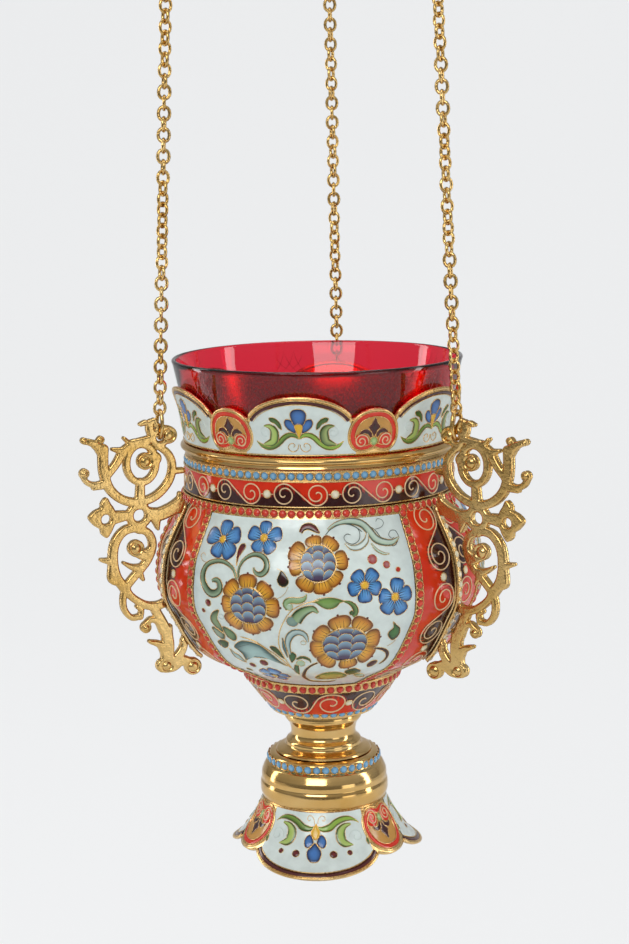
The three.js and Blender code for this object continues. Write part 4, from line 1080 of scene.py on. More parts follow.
def petal(drawing, centre, angle, start, end, half, inner, outer, edge, nib, belly=1.35, lift=0.0):
    """A petal between two radii. At share t its half width is half x the square root of
    1 - |2 t to the power belly - 1| to the power 2.6, which is widest near its outer end. Nib draws its tip
    out, or pulls it in where it is negative."""
    t = np.concatenate([np.linspace(0, 0.84, 9), [0.91, 0.96, 0.99, 1]])
    v = np.array([-1, -0.92, -0.8, -0.4, 0, 0.4, 0.8, 0.92, 1])
    way = np.array([np.cos(angle), np.sin(angle)])
    side = np.array([-way[1], way[0]])
    width = half * np.sqrt(np.maximum(0, 1 - np.abs(2 * t**belly - 1) ** 2.6))
    length = (end - start) * (1 - nib)
    run = start + length * (t[:, None] + nib / (1 - nib) * np.exp(-((v[None] / 0.25) ** 2)) * t[:, None] ** 8)
    flat = np.array(centre) + run[..., None] * way + (width[:, None] * v[None])[..., None] * side
    at_side, at_tip = np.clip((np.abs(v) - 0.6) / 0.3, 0, 1), np.clip((t - 0.8) / 0.15, 0, 1)
    colour = mix(mix(inner, outer, t[:, None] ** 1.6), edge, np.maximum(at_side[None], at_tip[:, None]))
    base = FIELD_LIFT - 0.05 + lift
    drawing.shape(flat, base + 0.26 * np.sqrt(1 - v**2)[None] * (0.4 + 0.6 * np.sin(np.pi * t))[:, None],
        colour)
    drawing.wire(np.concatenate([flat[:, 0], flat[::-1, -1]]), 0.09, base + 0.06)
    if nib > 0:
        drawing.disc(np.array(centre) + way * end * 0.965, 0.45, 0.45, edge, edge, base + 0.05, 0.2, 8, 2)
    for lean in (-0.42, 0.0, 0.42):
        near, far = [start * 1.02, lean * half * 0.5], [start + (end - start) * 0.7, lean * half * 0.9]
        stroke = spaced([near, far], 6)
        line = np.array(centre) + stroke[:, :1] * way + stroke[:, 1:] * side
        drawing.ribbon(line, 0.16 * np.array([1, 1, 0.9, 0.7, 0.4, 0.05]), edge, None, base + 0.2, 0.06)


def sunflower(drawing, centre, across, down, petals):
    """Golden petals round a disc of scales. Petals are (angle, radius). Each scale is a half ellipse with
    a gold arc, held inside the disc, and lies over the row above it."""
    for k, (angle, radius) in enumerate(petals):
        inner_r = 0.82 * np.hypot(across * np.cos(np.radians(angle)), down * np.sin(np.radians(angle)))
        petal(drawing, centre, np.radians(angle), inner_r, radius, np.pi * radius * 0.8 / len(petals), ORANGE,
            OCHRE, BROWN, 0.09, lift=0.02 * (k % 2))
    # painted shade: the disc's dark violet-brown ground shows in the gaps between the scales
    drawing.disc(centre, across, down, tone("3d3040"), tone("5b4658"), FIELD_LIFT + 0.02, 0.3, 28, 4)
    for row in range(4):
        for k in range(-1, 2):
            angle = np.linspace(np.pi, 2 * np.pi, 11)
            w = np.linspace(0, 1, 4)[:, None]
            x = 0.62 * k + 0.36 * np.cos(angle)[None] * (1 - 0.15 * w)
            y = -0.6 + 0.46 * row - 0.1 * (k == 0) + (1 - w) * 0.42 * np.sin(angle)[None] + w * 0.2
            fit = np.minimum(1, 0.96 / np.maximum(np.hypot(x, y), 1e-9))
            xy = np.array(centre) + np.stack([x * fit * across, y * fit * down], -1)
            lift = FIELD_LIFT + 0.3 + 0.03 * row
            # painted shade: each scale darkens from blue-grey at its arc to violet-brown at its lower edge,
            # under the row below that lies over it
            drawing.shape(xy, lift, mix(tone("8db4cc"), tone("4a3452"), np.clip(1.4 * w, 0, 1)))
            drawing.wire(xy[0], 0.13, lift + 0.03, sides=4)
    drawing.ring(centre, across, down, 0.2, FIELD_LIFT + 0.2, 40)


def blue_flower(drawing, centre, half, petals):
    """Five blue petals with dark strokes and a yellow middle."""
    for angle, radius in petals:
        petal(drawing, centre, np.radians(angle), radius * 0.1, radius, half, LIGHT_BLUE, BLUE, DARK_BLUE,
            -0.05, 1.75)
    drawing.disc(centre, 1.35, 1.35, ORANGE, YELLOW, FIELD_LIFT, 0.5, 12, 3)
    drawing.ring(centre, 1.4, 1.4, 0.13, FIELD_LIFT + 0.25, 12)


def dot(x, y, size, colour, light):
    """A small enamel drop with a thin ring."""
    squash = float(BOWL.radius_at(y)) / NOMINAL
    painting.disc([x, y], size / squash, size, colour, mix(colour, light, 0.35), FIELD_LIFT, 0.3, 12, 3)
    painting.ring([x, y], size / squash, size, 0.1, FIELD_LIFT + 0.06, 12)


# %% [markdown]
# Stems, scrolls and leaves come first and the flowers overlap them. A scroll has a half width at each
# point; a leaf has an outline.

# %% Leaves, scrolls, dots and flowers of the panel
FOREST, MOSS, MINT, FROST = tone("22381d"), tone("4c6a2f"), tone("a9c3a0"), tone("cfdfd9")
PINE, STONE, RUST = tone("16260f"), tone("6d8b87"), tone("4a1a10")
for points, half, left, right, edge in (
    ([[-21.6, 24.2], [-22.8, 21.3], [-25, 19.7], [-28, 18.8], [-31, 19.1], [-33.7, 20.2], [-35.2, 21.8],
     [-35.9, 24], [-35.5, 26.3], [-34.2, 28.3], [-32.3, 29.7], [-30.3, 29.8], [-28.5, 28.8], [-28, 27.2],
     [-28.8, 25.5], [-30.3, 25.2], [-31.5, 25.7]],
     [0.4, 0.5, 0.6, 0.7, 0.75, 0.8, 0.9, 1, 1.1, 1.2, 1.3, 1.4, 1.4, 1.3, 1.2, 1, 0.5], FOREST, MINT, PINE),
    ([[-20.9, 23.5], [-21, 21], [-20.3, 18.7], [-18.7, 16.7], [-16.3, 15.5], [-14, 15.5], [-12, 16.5],
     [-10.9, 18.3], [-11, 20.3], [-12.3, 21.7], [-13.9, 21.8], [-15.1, 20.9], [-15.5, 19.8]],
     [0.35, 0.4, 0.5, 0.6, 0.7, 0.8, 0.9, 0.95, 1, 1.1, 1, 0.7, 0.3], MINT, FOREST, PINE),
    ([[-3, 32.6], [-3.9, 31], [-2.6, 29.9], [0, 30], [2, 29.3], [2.8, 27.9]], [1.2, 1.2, 1, 1.1, 0.9, 0.1],
     MINT, LEAF, MOSS),
    ([[6.4, 34], [4.8, 32.7], [2.4, 33.3], [0.2, 35], [-1.1, 37]], [0.4, 1.2, 1.6, 2, 2.1], MINT,
     tone("6f9350"), FOREST),
    ([[14.8, 30.3], [16.8, 31], [18.4, 32.6], [18.7, 34.6], [17.7, 35.5]], [0.2, 0.6, 0.9, 1, 0.6], LEAF,
     FOREST, PINE),
    ([[10.4, 6.6], [13, 5], [17, 4.1], [21, 4.3], [24, 5.5], [26.2, 8], [28, 10.6], [31, 12], [34.2, 12.3],
     [37.4, 10.8]], [0.3, 0.6, 0.9, 1.2, 1.3, 1.5, 1.5, 1.3, 1, 0.1], FROST, MINT, tone("3f4f47")),
    ([[16.4, 11.4], [18.6, 13], [21.6, 12.8], [24.2, 11], [25.2, 8.4]], [0.2, 0.9, 1.1, 1, 0.4], FROST,
     tone("dfe9e3"), tone("566a60")),
    ([[26, 12], [27.5, 14.3], [30, 15.8], [32, 16]], [0.2, 0.5, 0.45, 0.1], FROST, MINT, tone("566a60")),
    ([[-4.6, 51.4], [-4.8, 46.5], [-3.3, 43], [-0.8, 41.5], [1.6, 42.6], [2.6, 45.8]],
     [0.5, 0.9, 1.3, 1.4, 1.1, 0.3], FROST, tone("7fa3a6"), tone("2c4a48")),
    ([[-6.4, 44.3], [-6.3, 48.5], [-5.8, 52.8]], [0.2, 0.75, 0.2], STONE, tone("2f4f5a"), PINE),
    ([[-2.4, 53.6], [-0.5, 52.7], [1, 52.8], [2.6, 53.8], [3, 55]], [0.3, 0.6, 0.65, 0.6, 0.2], MOSS, FOREST,
     PINE),
    ([[-2.7, 56.4], [-3.2, 59.6], [-2.8, 62.6]], [0.8, 1.2, 0.3], tone("5f8550"), FOREST, PINE),
    ([[5.7, 55.2], [3, 56.7], [1, 58.7], [-0.3, 61.3], [-1.2, 64.7], [-1, 68], [-0.2, 70.7], [1.6, 72.2],
     [6.3, 73.2], [11.3, 73.2], [14.7, 72]], [0.3, 0.4, 0.6, 0.8, 0.95, 0.9, 0.8, 0.7, 0.6, 0.5, 0.2], RUST,
     MAROON, PINE),
    ([[27, 49.9], [30, 50.5], [32.7, 52], [33.8, 54.2], [33.2, 56.3], [31.4, 57.8]],
     [0.3, 0.5, 0.65, 0.7, 0.5, 0.15], RUST, MAROON, PINE),
    ([[0.4, 7.5], [1.2, 6], [3.1, 5.4], [5.1, 6], [7.3, 7.7]], [0.7, 1.1, 1.2, 1.1, 0.3], tone("7a1c16"),
     MAROON, PINE),
):
    leaf(painting, points, half, left, right, 0.0, 0.24, edge, count=3 * len(points))
for points, inner, edge in (
    ([[-5.7, 20.3], [-4.7, 21], [-3.5, 22.7], [-3.1, 24.2], [-4.3, 25.6], [-6, 25.3], [-7, 23.4],
     [-6.3, 21.5]], MAROON, PINE),
    ([[-22.7, 14.3], [-22, 12.5], [-20.5, 12.1], [-19.8, 13.3], [-20.7, 15], [-21.7, 17], [-22, 19.7],
     [-22.6, 17]], tone("6b1a16"), MAROON),
    ([[4.7, 30.3], [7, 29.2], [11, 29], [14.8, 30.2], [13.5, 31], [12.2, 32.3], [10, 32.9], [7.8, 32.2],
     [6, 30.8]], LEAF, MOSS),
    ([[-28.7, 35.2], [-31.5, 36.2], [-33.4, 38.5], [-33.8, 41], [-32, 43.6], [-30, 44.4], [-29.9, 41],
     [-30.3, 38.6]], tone("7c9366"), FOREST),
    ([[-29.5, 42], [-27, 42.2], [-24.7, 44.5], [-25, 46.7], [-26.8, 47.7], [-28.8, 46.5], [-29.7, 44.3]],
     tone("6e8c5c"), FOREST),
    ([[-35.2, 43.5], [-33.8, 42.8], [-31.5, 44.3], [-30, 45.5], [-31, 47.6], [-33.5, 47.3], [-34.8, 45.5]],
     tone("8ea088"), FOREST),
    ([[-35.5, 49.5], [-33.5, 48.3], [-31, 48.2], [-29.8, 49], [-31, 51], [-33, 51.8], [-34.8, 51]],
     tone("35521c"), PINE),
    ([[-27.7, 50.5], [-26, 48.6], [-23.3, 47.2], [-20, 47], [-16.7, 47.7], [-14.7, 49], [-12.7, 51],
     [-10.7, 53], [-8.7, 55.3], [-6.5, 57.2], [-8.7, 56.3], [-10.7, 55], [-13.3, 54.3], [-17, 54],
     [-21, 54.1], [-23.3, 54.8], [-24.6, 56.3], [-25, 53.3], [-26.2, 51.8]], tone("a3c3bf"), tone("2f5250")),
    ([[-30.5, 51.5], [-29, 53], [-27, 54], [-25.3, 56.5], [-25, 57.3], [-27.7, 56.6], [-29.9, 55]],
     tone("a9c0bb"), tone("456461")),
    ([[-12, 49], [-10.7, 48], [-9, 49], [-7.7, 51.5], [-6.9, 53.7], [-9, 52.3]], tone("35521c"), PINE),
    ([[-5, 51], [-3.7, 50.3], [-2.3, 51.5], [-2.8, 53.5], [-4.5, 55.3], [-5.1, 53.3]], tone("3f6a38"), PINE),
    ([[4, 66.4], [6, 63], [9, 61], [13, 60.7], [16.5, 62], [19, 65], [18.4, 68], [15, 69.6], [9, 70],
     [5, 69.6]], tone("b3ab52"), MOSS),
    ([[17, 60.5], [19.5, 59], [22, 59.2], [24.3, 61.3], [22.7, 63.5], [20, 64.7], [18, 63]], tone("35561f"),
     PINE),
    ([[22, 64.5], [25, 64], [28, 66.5], [30, 70], [27, 70.2], [24, 68]], tone("b2c4a4"), MOSS),
    ([[32.3, 39.2], [34, 40.7], [35.7, 42.3], [36.3, 44.7], [35.3, 46.7], [33.7, 47.2], [31.8, 45.3],
     [31.6, 43.5], [33, 41.6]], tone("3f7534"), PINE),
    ([[26, 57.2], [27.5, 55.8], [29.8, 55.8], [30, 57.2], [28, 58.9], [26.4, 58.8]], RUST, MAROON),
):
    blob(painting, points, inner, edge)
DRAWN = tone("44534a")
for points, radius, colour in (
    ([[-4.2, 60], [-6.3, 55], [-8.2, 48.5], [-7.3, 42.5], [-5, 37.3], [-2.2, 33.3], [1.5, 31.2], [4.7, 30.2],
     [8, 29.8]], 0.2, None),
    ([[-5, 58.5], [-7.5, 55], [-10.3, 52], [-13.7, 49.3], [-16.7, 47], [-19.8, 45.9], [-23.3, 45.3]], 0.22,
     None),
    ([[9.3, 8.6], [11.5, 6.5], [15, 5.1], [18.5, 5.1], [21.3, 6.3], [23.4, 8]], 0.17, DRAWN),
    ([[24, 5], [25.7, 7], [26.7, 9.5], [28.4, 11.4]], 0.15, DRAWN),
    ([[27, 6.4], [28.8, 8.2], [31, 11.6], [34.5, 13.6], [37.4, 10.9]], 0.13, DRAWN),
    ([[21.5, 6.2], [22.3, 8.2], [21.6, 10.6], [19.3, 11.8], [17, 11], [16.2, 9.4], [17.4, 8.3], [19, 8.8]],
     0.12, DRAWN),
    ([[28.4, 7.4], [31, 6.9], [32.4, 5.6], [31.8, 4.4], [30.2, 4], [29.2, 5]], 0.09, DRAWN),
    ([[37.4, 10.7], [36.6, 8.6], [34.6, 8.4], [33.4, 9.8], [34.4, 11], [35.6, 10.6]], 0.1, DRAWN),
    ([[-34.8, 20], [-36.7, 19.7], [-38, 18.7], [-38.3, 17.7], [-37.3, 17], [-36, 17.8]], 0.1, None),
    ([[-7.2, 19.7], [-5.7, 20.3]], 0.09, None),
    ([[-3.1, 25.3], [-4.3, 27.7], [-6.3, 29.2], [-8.3, 29.7]], 0.09, None),
    ([[-4.6, 24.7], [-5.7, 24.3], [-5.5, 23.2], [-4.3, 23.2]], 0.11, PALE),
    ([[35.5, 47.3], [34.3, 48.7], [32.3, 49.7]], 0.09, None),
    ([[34.8, 45.6], [33.6, 44.6], [34, 43.2], [35, 43.2]], 0.12, PALE),
    ([[-20, 48.2], [-23.6, 49.4], [-26.6, 50.6]], 0.13, DRAWN),
    ([[-13, 51.6], [-17, 50.6], [-21, 50.8]], 0.13, DRAWN),
    ([[-11, 53.6], [-14.5, 52.4], [-18, 52.3]], 0.12, DRAWN),
    ([[-29.6, 38], [-28.2, 38.6], [-27.2, 37.6], [-28, 36.6], [-29, 37]], 0.1, PALE),
    ([[7, 68.5], [8.6, 64], [11, 62]], 0.15, MOSS),
    ([[12.6, 69.4], [13.2, 65.6], [14.6, 62.8]], 0.15, RUST),
):
    hair(painting, points, radius, colour)
for x, y, size, colour, light in (
    (-33.2, 33.3, 1.25, MAROON, RED), (-35.9, 36.4, 0.8, MAROON, RED), (25.4, 17.3, 1.65, DEEP_RED, PALE),
    (30.2, 19.5, 1.25, DEEP_RED, PALE),
    (34.2, 21.5, 0.85, DEEP_RED, RED), (-16.5, 56.4, 1.5, MAROON, RED), (-22.5, 58.4, 1.2, MAROON, RED),
    (-27, 62.6, 1.2, FOREST, LEAF),
    (-3, 32, 1.3, MINT, FROST), (-2.1, 37.2, 2.0, STONE, MINT), (17.4, 34.4, 0.8, FOREST, LEAF),
    (-1, 55.6, 1.5, MINT, FROST), (0.9, 46.2, 0.9, FROST, WHITE),
):
    dot(x, y, size, colour, light)
for centre, half, petals in (
    ([-30.3, 11.5], 3.1, [(-90, 6.5), (-20, 7.5), (43, 7.7), (108, 6.2), (188, 7.7)]),
    ([-13.3, 9.7], 2.6, [(-90, 5.6), (-17, 6.8), (50, 5.9), (122, 5.5), (197, 6.6)]),
    ([21.9, 25.5], 2.5, [(-126, 5.4), (-47, 6), (18, 5.7), (90, 5.7), (165, 5.6)]),
    ([32.3, 30.3], 2.7, [(-75, 6.1), (-8, 6.2), (62, 6.6), (128, 6.3), (188, 5.6)]),
    ([-16, 66.5], 3.2, [(-66, 7.4), (-130, 6.9), (154, 8.1), (70, 6.6), (-6, 7.7)]),
):
    blue_flower(painting, centre, half, petals)
for centre, across, down, petals in (
    ([6.7, 17.8], 6.1, 6.2, [(-102, 9.9), (-56, 10.6), (-6, 10.8), (44, 10.1), (80, 10.7), (122, 10.8),
     (173, 10.5), (207, 11.6)]),
    ([-17.1, 32.6], 6.6, 6.3, [(-92, 11.2), (-43, 11.1), (0, 11.6), (51, 11.2), (91, 11.6), (136, 12.2),
     (178, 10.7), (220, 11.3)]),
    ([15.8, 47.1], 8.2, 7.3, [(-104, 12.8), (-56, 13), (-8, 13.7), (30, 13.7), (78, 12.4), (132, 13.2),
     (169, 13.4), (209, 12.9)]),
):
    sunflower(painting, centre, across, down, petals)
for index, azimuth in enumerate((0, 120, 240)):
    panel = Mesh()
    lay(painting, BOWL, [azimuth], NOMINAL, panel)
    panel.make(f"panel_painting_{index}", "lamp", [WIRE_GOLD, ENAMELS], "enamel_white")

# %% [markdown]
# ## Ribs
# A gilt strip covers each joint between the panels, with a column of granules on it.

# %% Ribs with their granules
for name, azimuth in BRACKETS.items():
    rib = Mesh()
    top, low = BOWL.down_at(BOWL_TOP_H - 2.5), BOWL.down_at(FLOOR_H + 8.4)
    rows = np.linspace(top, low, 60)[:, None]
    across, lift = squared(circle(12), 0.6)
    size = np.ones((60, 1))
    size[[0, -1]] = 0.0
    turn_by = np.degrees(1.2 * across[None] * size / BOWL.radius_at(rows))
    rib.grid(BOWL.at(azimuth + turn_by, rows, 0.95 + 0.65 * lift[None] * size), False)
    granules = Drawing()
    for y in np.arange(top + 1.6, low - 1.2, 3.25):
        granules.disc([0, y], 0.95, 1.1, CREAM, CREAM_LIGHT, 1.42, 0.55, 12, 3)
        granules.ring([0, y], 1.0, 1.15, 0.15, 1.5, 12)
        granules.disc([0, y + 1.62], 0.75, 0.36, base=1.4, rise=0.4, spokes=8, rings=2)
    lay(granules, BOWL, [azimuth], NOMINAL * 0.93, rib)
    rib.make(f"rib_{name}_look", "lamp", [WIRE_GOLD, ENAMELS], "gilt_brass", [f"rib_{name}"])

# %% [markdown]
# ## Lower band, dome and foot
# The lower band tapers to the stem and repeats the spiral pattern six times, with the maroon ground above.
# The dome is a stepped cap whose ledge carries a bead row. Both are plain turned profiles.

# %% Lower band and dome
lower = Mesh()
outline = between([LOWER_R - 9.6, LOWER_FOOT_H], [LOWER_R, LOWER_TOP_H], [[1, 1], [0.93, 0.94], [0.93, 0.8],
    [0.82, 0.762], [0.51, 0.476], [0.14, 0.15], [0.02, 0.095], [0, 0]])
lathe(lower, rounded([*outline, [3.2, LOWER_FOOT_H], [3.2, LOWER_FOOT_H + WALL],
    [LOWER_R - 10.6, LOWER_FOOT_H + WALL], [LOWER_R - 2.6, LOWER_TOP_H - 3.3], [LOWER_R - 2, LOWER_TOP_H]],
    0.12, 2), 144)
LOWER_NOMINAL = 23.5
lower_spirals = Drawing()
lower_period = 2 * np.pi * LOWER_NOMINAL / 6
spiral_band(lower_spirals, lower_period, 0.8, LOWER.length - 0.1, CELL_LIFT, 0.26, -1)
lay(lower_spirals, LOWER, 30 + np.arange(6) * 60, LOWER_NOMINAL, lower)
TOP_HOOP = Turned([[LOWER_R - 0.4, LOWER_TOP_H], [LOWER_R - 0.4, LOWER_TOP_H - 3.2]], straight=True)
bead_row(lower, TOP_HOOP, 1.7, 54, 1.38, BEAD_RED, BEAD_LIGHT, -0.35, pearls=False)
FOOT_HOOP = Turned(between([LOWER_R - 9.6, LOWER_FOOT_H], [LOWER_R, LOWER_TOP_H],
    [[0.167, 0.15], [0.0, 0.0]]), straight=True)
bead_row(lower, FOOT_HOOP, 1.0, 39, 1.3, TURQUOISE, TURQUOISE_LIGHT, -0.5, pearls=False)
lower.make("lower_band_look", "lamp", [WIRE_GOLD, ENAMELS], "enamel_red", ["lower_band"])

dome = Mesh()
cap = between([DOME_R, DOME_FOOT_H], [DOME_R + 1, DOME_TOP_H], [[-4.8, 1], [-3.6, 0.975], [-3.1, 0.925],
    [-3.1, 0.774], [-1.9, 0.73], [-1.2, 0.648], [-0.6, 0.56], [-0.4, 0.472], [-0.5, 0.377], [-0.1, 0.32],
    [0, 0.25], [0, 0.12], [-0.6, 0]])
cap_inner = between([DOME_R, DOME_FOOT_H], [DOME_R + 1, DOME_TOP_H], [[-2.0, 0], [-2.2, 0.56], [-6, 0.92],
    [-19.4, 0.92], [-19.4, 1]])
lathe(dome, rounded([*cap, *cap_inner], 0.3, 4), 144)
LEDGE = Turned([[DOME_R - 2.7, DOME_FOOT_H + 15.2], [DOME_R - 2.7, DOME_FOOT_H + 12.2]], straight=True)
bead_row(dome, LEDGE, 1.5, 39, 1.45, TURQUOISE, TURQUOISE_LIGHT, -0.35, pearls=False)
dome.make("dome_look", "lamp", [POLISHED, ENAMELS], "gilt_brass", ["dome"])

# %% [markdown]
# The foot skirt works as the crown does, with its edge at the bottom: three broad lobes and three palmettes.

# %% Foot skirt
FOOT_LOBE_HALF, FOOT_LOBE_CUT = 50.0, 12.6
FOOT_PALMETTE_HALF, FOOT_PALMETTE_CUT, FOOT_PALMETTE_DEPTH = 21.0, 5.6, 6.0
FOOT_NOMINAL = 28.0


def lobe_edge(azimuth):
    """Length down to the edge of the nearest foot lobe."""
    return SKIRT.length - FOOT_LOBE_CUT * (1 - arch(from_nearest(azimuth, 0, 120), FOOT_LOBE_HALF))


def skirt_edge(azimuth):
    """Length down to the skirt's edge: a lobe or a palmette, whichever reaches lower."""
    rise = 1 - arch(from_nearest(azimuth, 60, 120), FOOT_PALMETTE_HALF)
    palmette_edge = SKIRT.length - FOOT_PALMETTE_CUT - FOOT_PALMETTE_DEPTH * rise
    return np.maximum(lobe_edge(azimuth), palmette_edge)


skirt = Mesh()
edged_sheet(skirt, SKIRT, skirt_edge, 240, 16, True)
foot_lobe = Drawing()
FOOT_DEG = np.radians(1) * FOOT_NOMINAL
az = np.linspace(-46, 46, 71)
# the border keeps its width on the flared sheet, so insets are worked out at the true radius and then mapped
edge_down = lobe_edge(az)
edge_r = SKIRT.radius_at(edge_down)
true_edge = np.stack([np.radians(az) * edge_r, edge_down], 1)
normal = side_of(true_edge)
normal *= -np.sign(normal[35, 1])


def set_in(distance):
    """The lobe's edge moved inwards by a true distance, in drawing coordinates."""
    moved = normal * distance
    return pair(az * FOOT_DEG + moved[:, 0] * FOOT_NOMINAL / edge_r, edge_down + moved[:, 1])


FOOT_FIELD_TOP = 0.4      # mm down from the top of the skirt to the white field
foot_lobe.wire(set_in(0.15), 0.55, -0.45, sides=8)
foot_lobe.ribbon(set_in(1.5), 0.75, MAROON, RIM_BROWN, GROUND + 0.04, 0.22)
foot_lobe.wire(set_in(0.65), 0.15, CELL_LIFT)
foot_lobe.wire(set_in(2.45), 0.18, CELL_LIFT)
edge_x, edge_y = set_in(2.4).T
field_y = FOOT_FIELD_TOP + np.linspace(0, 1, 8)[:, None] * (edge_y[None] - FOOT_FIELD_TOP)
foot_lobe.shape(pair(edge_x[None], field_y), FIELD_LIFT, WHITE)
for way in (-1, 1):
    tint = GRASS if way > 0 else SHADE
    leaf(foot_lobe, mirrored([[0.3, 5.2], [2.5, 5.9], [5.6, 5.4], [8, 3.9], [10.9, 2.9], [14.1, 2.8],
        [16.6, 3.6], [18.2, 4.8]], way), [0.3, 1, 1.3, 1.2, 1.1, 0.9, 0.5, 0.05], tint, GRASS, edge=SHADE)
    leaf(foot_lobe, mirrored([[14.4, 4.7], [11.6, 5.3], [9.8, 7.2], [9.7, 9.4], [10.8, 11.1], [13.8, 12]],
        way), [0.3, 0.9, 1.8, 1.9, 1.3, 0.1], GRASS if way > 0 else LIME, LIME if way > 0 else GRASS, 0.04,
        0.3, edge=SHADE)
    hair(foot_lobe, mirrored([[12.8, 9.6], [13.6, 7.8], [15.8, 7], [17.7, 8], [17.7, 9.9], [16, 10.6],
        [14.8, 9.7], [15.4, 8.6]], way), 0.14, WHITE)
    hair(foot_lobe, mirrored([[0.7, 4.3], [0.9, 2.7], [2, 1.5], [3.4, 1.6], [3.8, 2.6], [3, 3.2], [2.4, 2.6]],
        way), 0.13)
    blob(foot_lobe, mirrored([[1.8, 8], [3.3, 8.4], [4.1, 10.2], [3.6, 12.1], [2.3, 12.5], [0.6, 10.7]], way),
        BLUE, DARK_BLUE, 0.02)
    blob(foot_lobe, mirrored([[19.8, 10.2], [20.4, 11.5], [19.8, 12.9], [19.2, 11.6]], way), MOSS, SHADE)
    for x, y, size in ((6.4, 14.8, 1.3), (12, 14.6, 0.9)):
        foot_lobe.disc([way * x, y], size, size, MAROON, tone("7a1c16"), FIELD_LIFT, 0.3, 12, 3)
        foot_lobe.ring([way * x, y], size, size, 0.1, GROUND + 0.18, 12)
blob(foot_lobe, [[-1.4, 12.1], [-2.6, 13.6], [-2.4, 15.7], [-1.2, 17.4], [0.1, 17.7], [1.3, 17.2],
    [2.2, 15.4], [2.2, 13.6], [1.2, 12.1], [0, 10.7]], BLUE, DARK_BLUE, 0.08)
hair(foot_lobe, [[0, 11.6], [0.1, 13.4], [0, 15.2]], 0.1, DARK_BLUE, 8)
blob(foot_lobe, [[0, 4.1], [1, 5.7], [1.7, 7.1], [1.1, 8.8], [0, 9.7], [-1.1, 8.8], [-1.8, 7.1], [-1, 5.6]],
    YELLOW, ORANGE, 0.16, 0.32)

foot_palmette = Drawing()
foot_egg = egg_shape([[0, 17.4], [4.6, 16.5], [8.2, 13.2], [9.9, 8.6], [9.6, 4.4], [7.4, 1.2], [4, 0.3]],
    [0, 1.0])
medallion(foot_palmette, foot_egg, np.array([0, 8.6]), (4.5, 4.4), 3.1, -1, 7.0)
lay(foot_lobe, SKIRT, [0, 120, 240], FOOT_NOMINAL, skirt)
lay(foot_palmette, SKIRT, [60, 180, 300], FOOT_NOMINAL, skirt)
FLANGE_R = SKIRT_NECK_R - 4
lathe(skirt, [[FLANGE_R, SKIRT_TOP_H - WALL], [SKIRT_NECK_R - 0.6, SKIRT_TOP_H - WALL],
    [SKIRT_NECK_R - 0.2, SKIRT_TOP_H], [FLANGE_R, SKIRT_TOP_H]], 96)
skirt.make("foot_skirt_look", "lamp", [WIRE_GOLD, ENAMELS], "enamel_white", ["foot_skirt"])

# %% [markdown]
# ## Brackets
# Each bracket is one flat openwork casting. It is drawn from strokes: a line in the bracket's plane with its
# width at both ends, in mm outwards from the bowl's widest radius and upwards from the bowl's top edge. Its
# outline is where the distance to the nearest stroke is zero, with a small fillet where strokes meet.

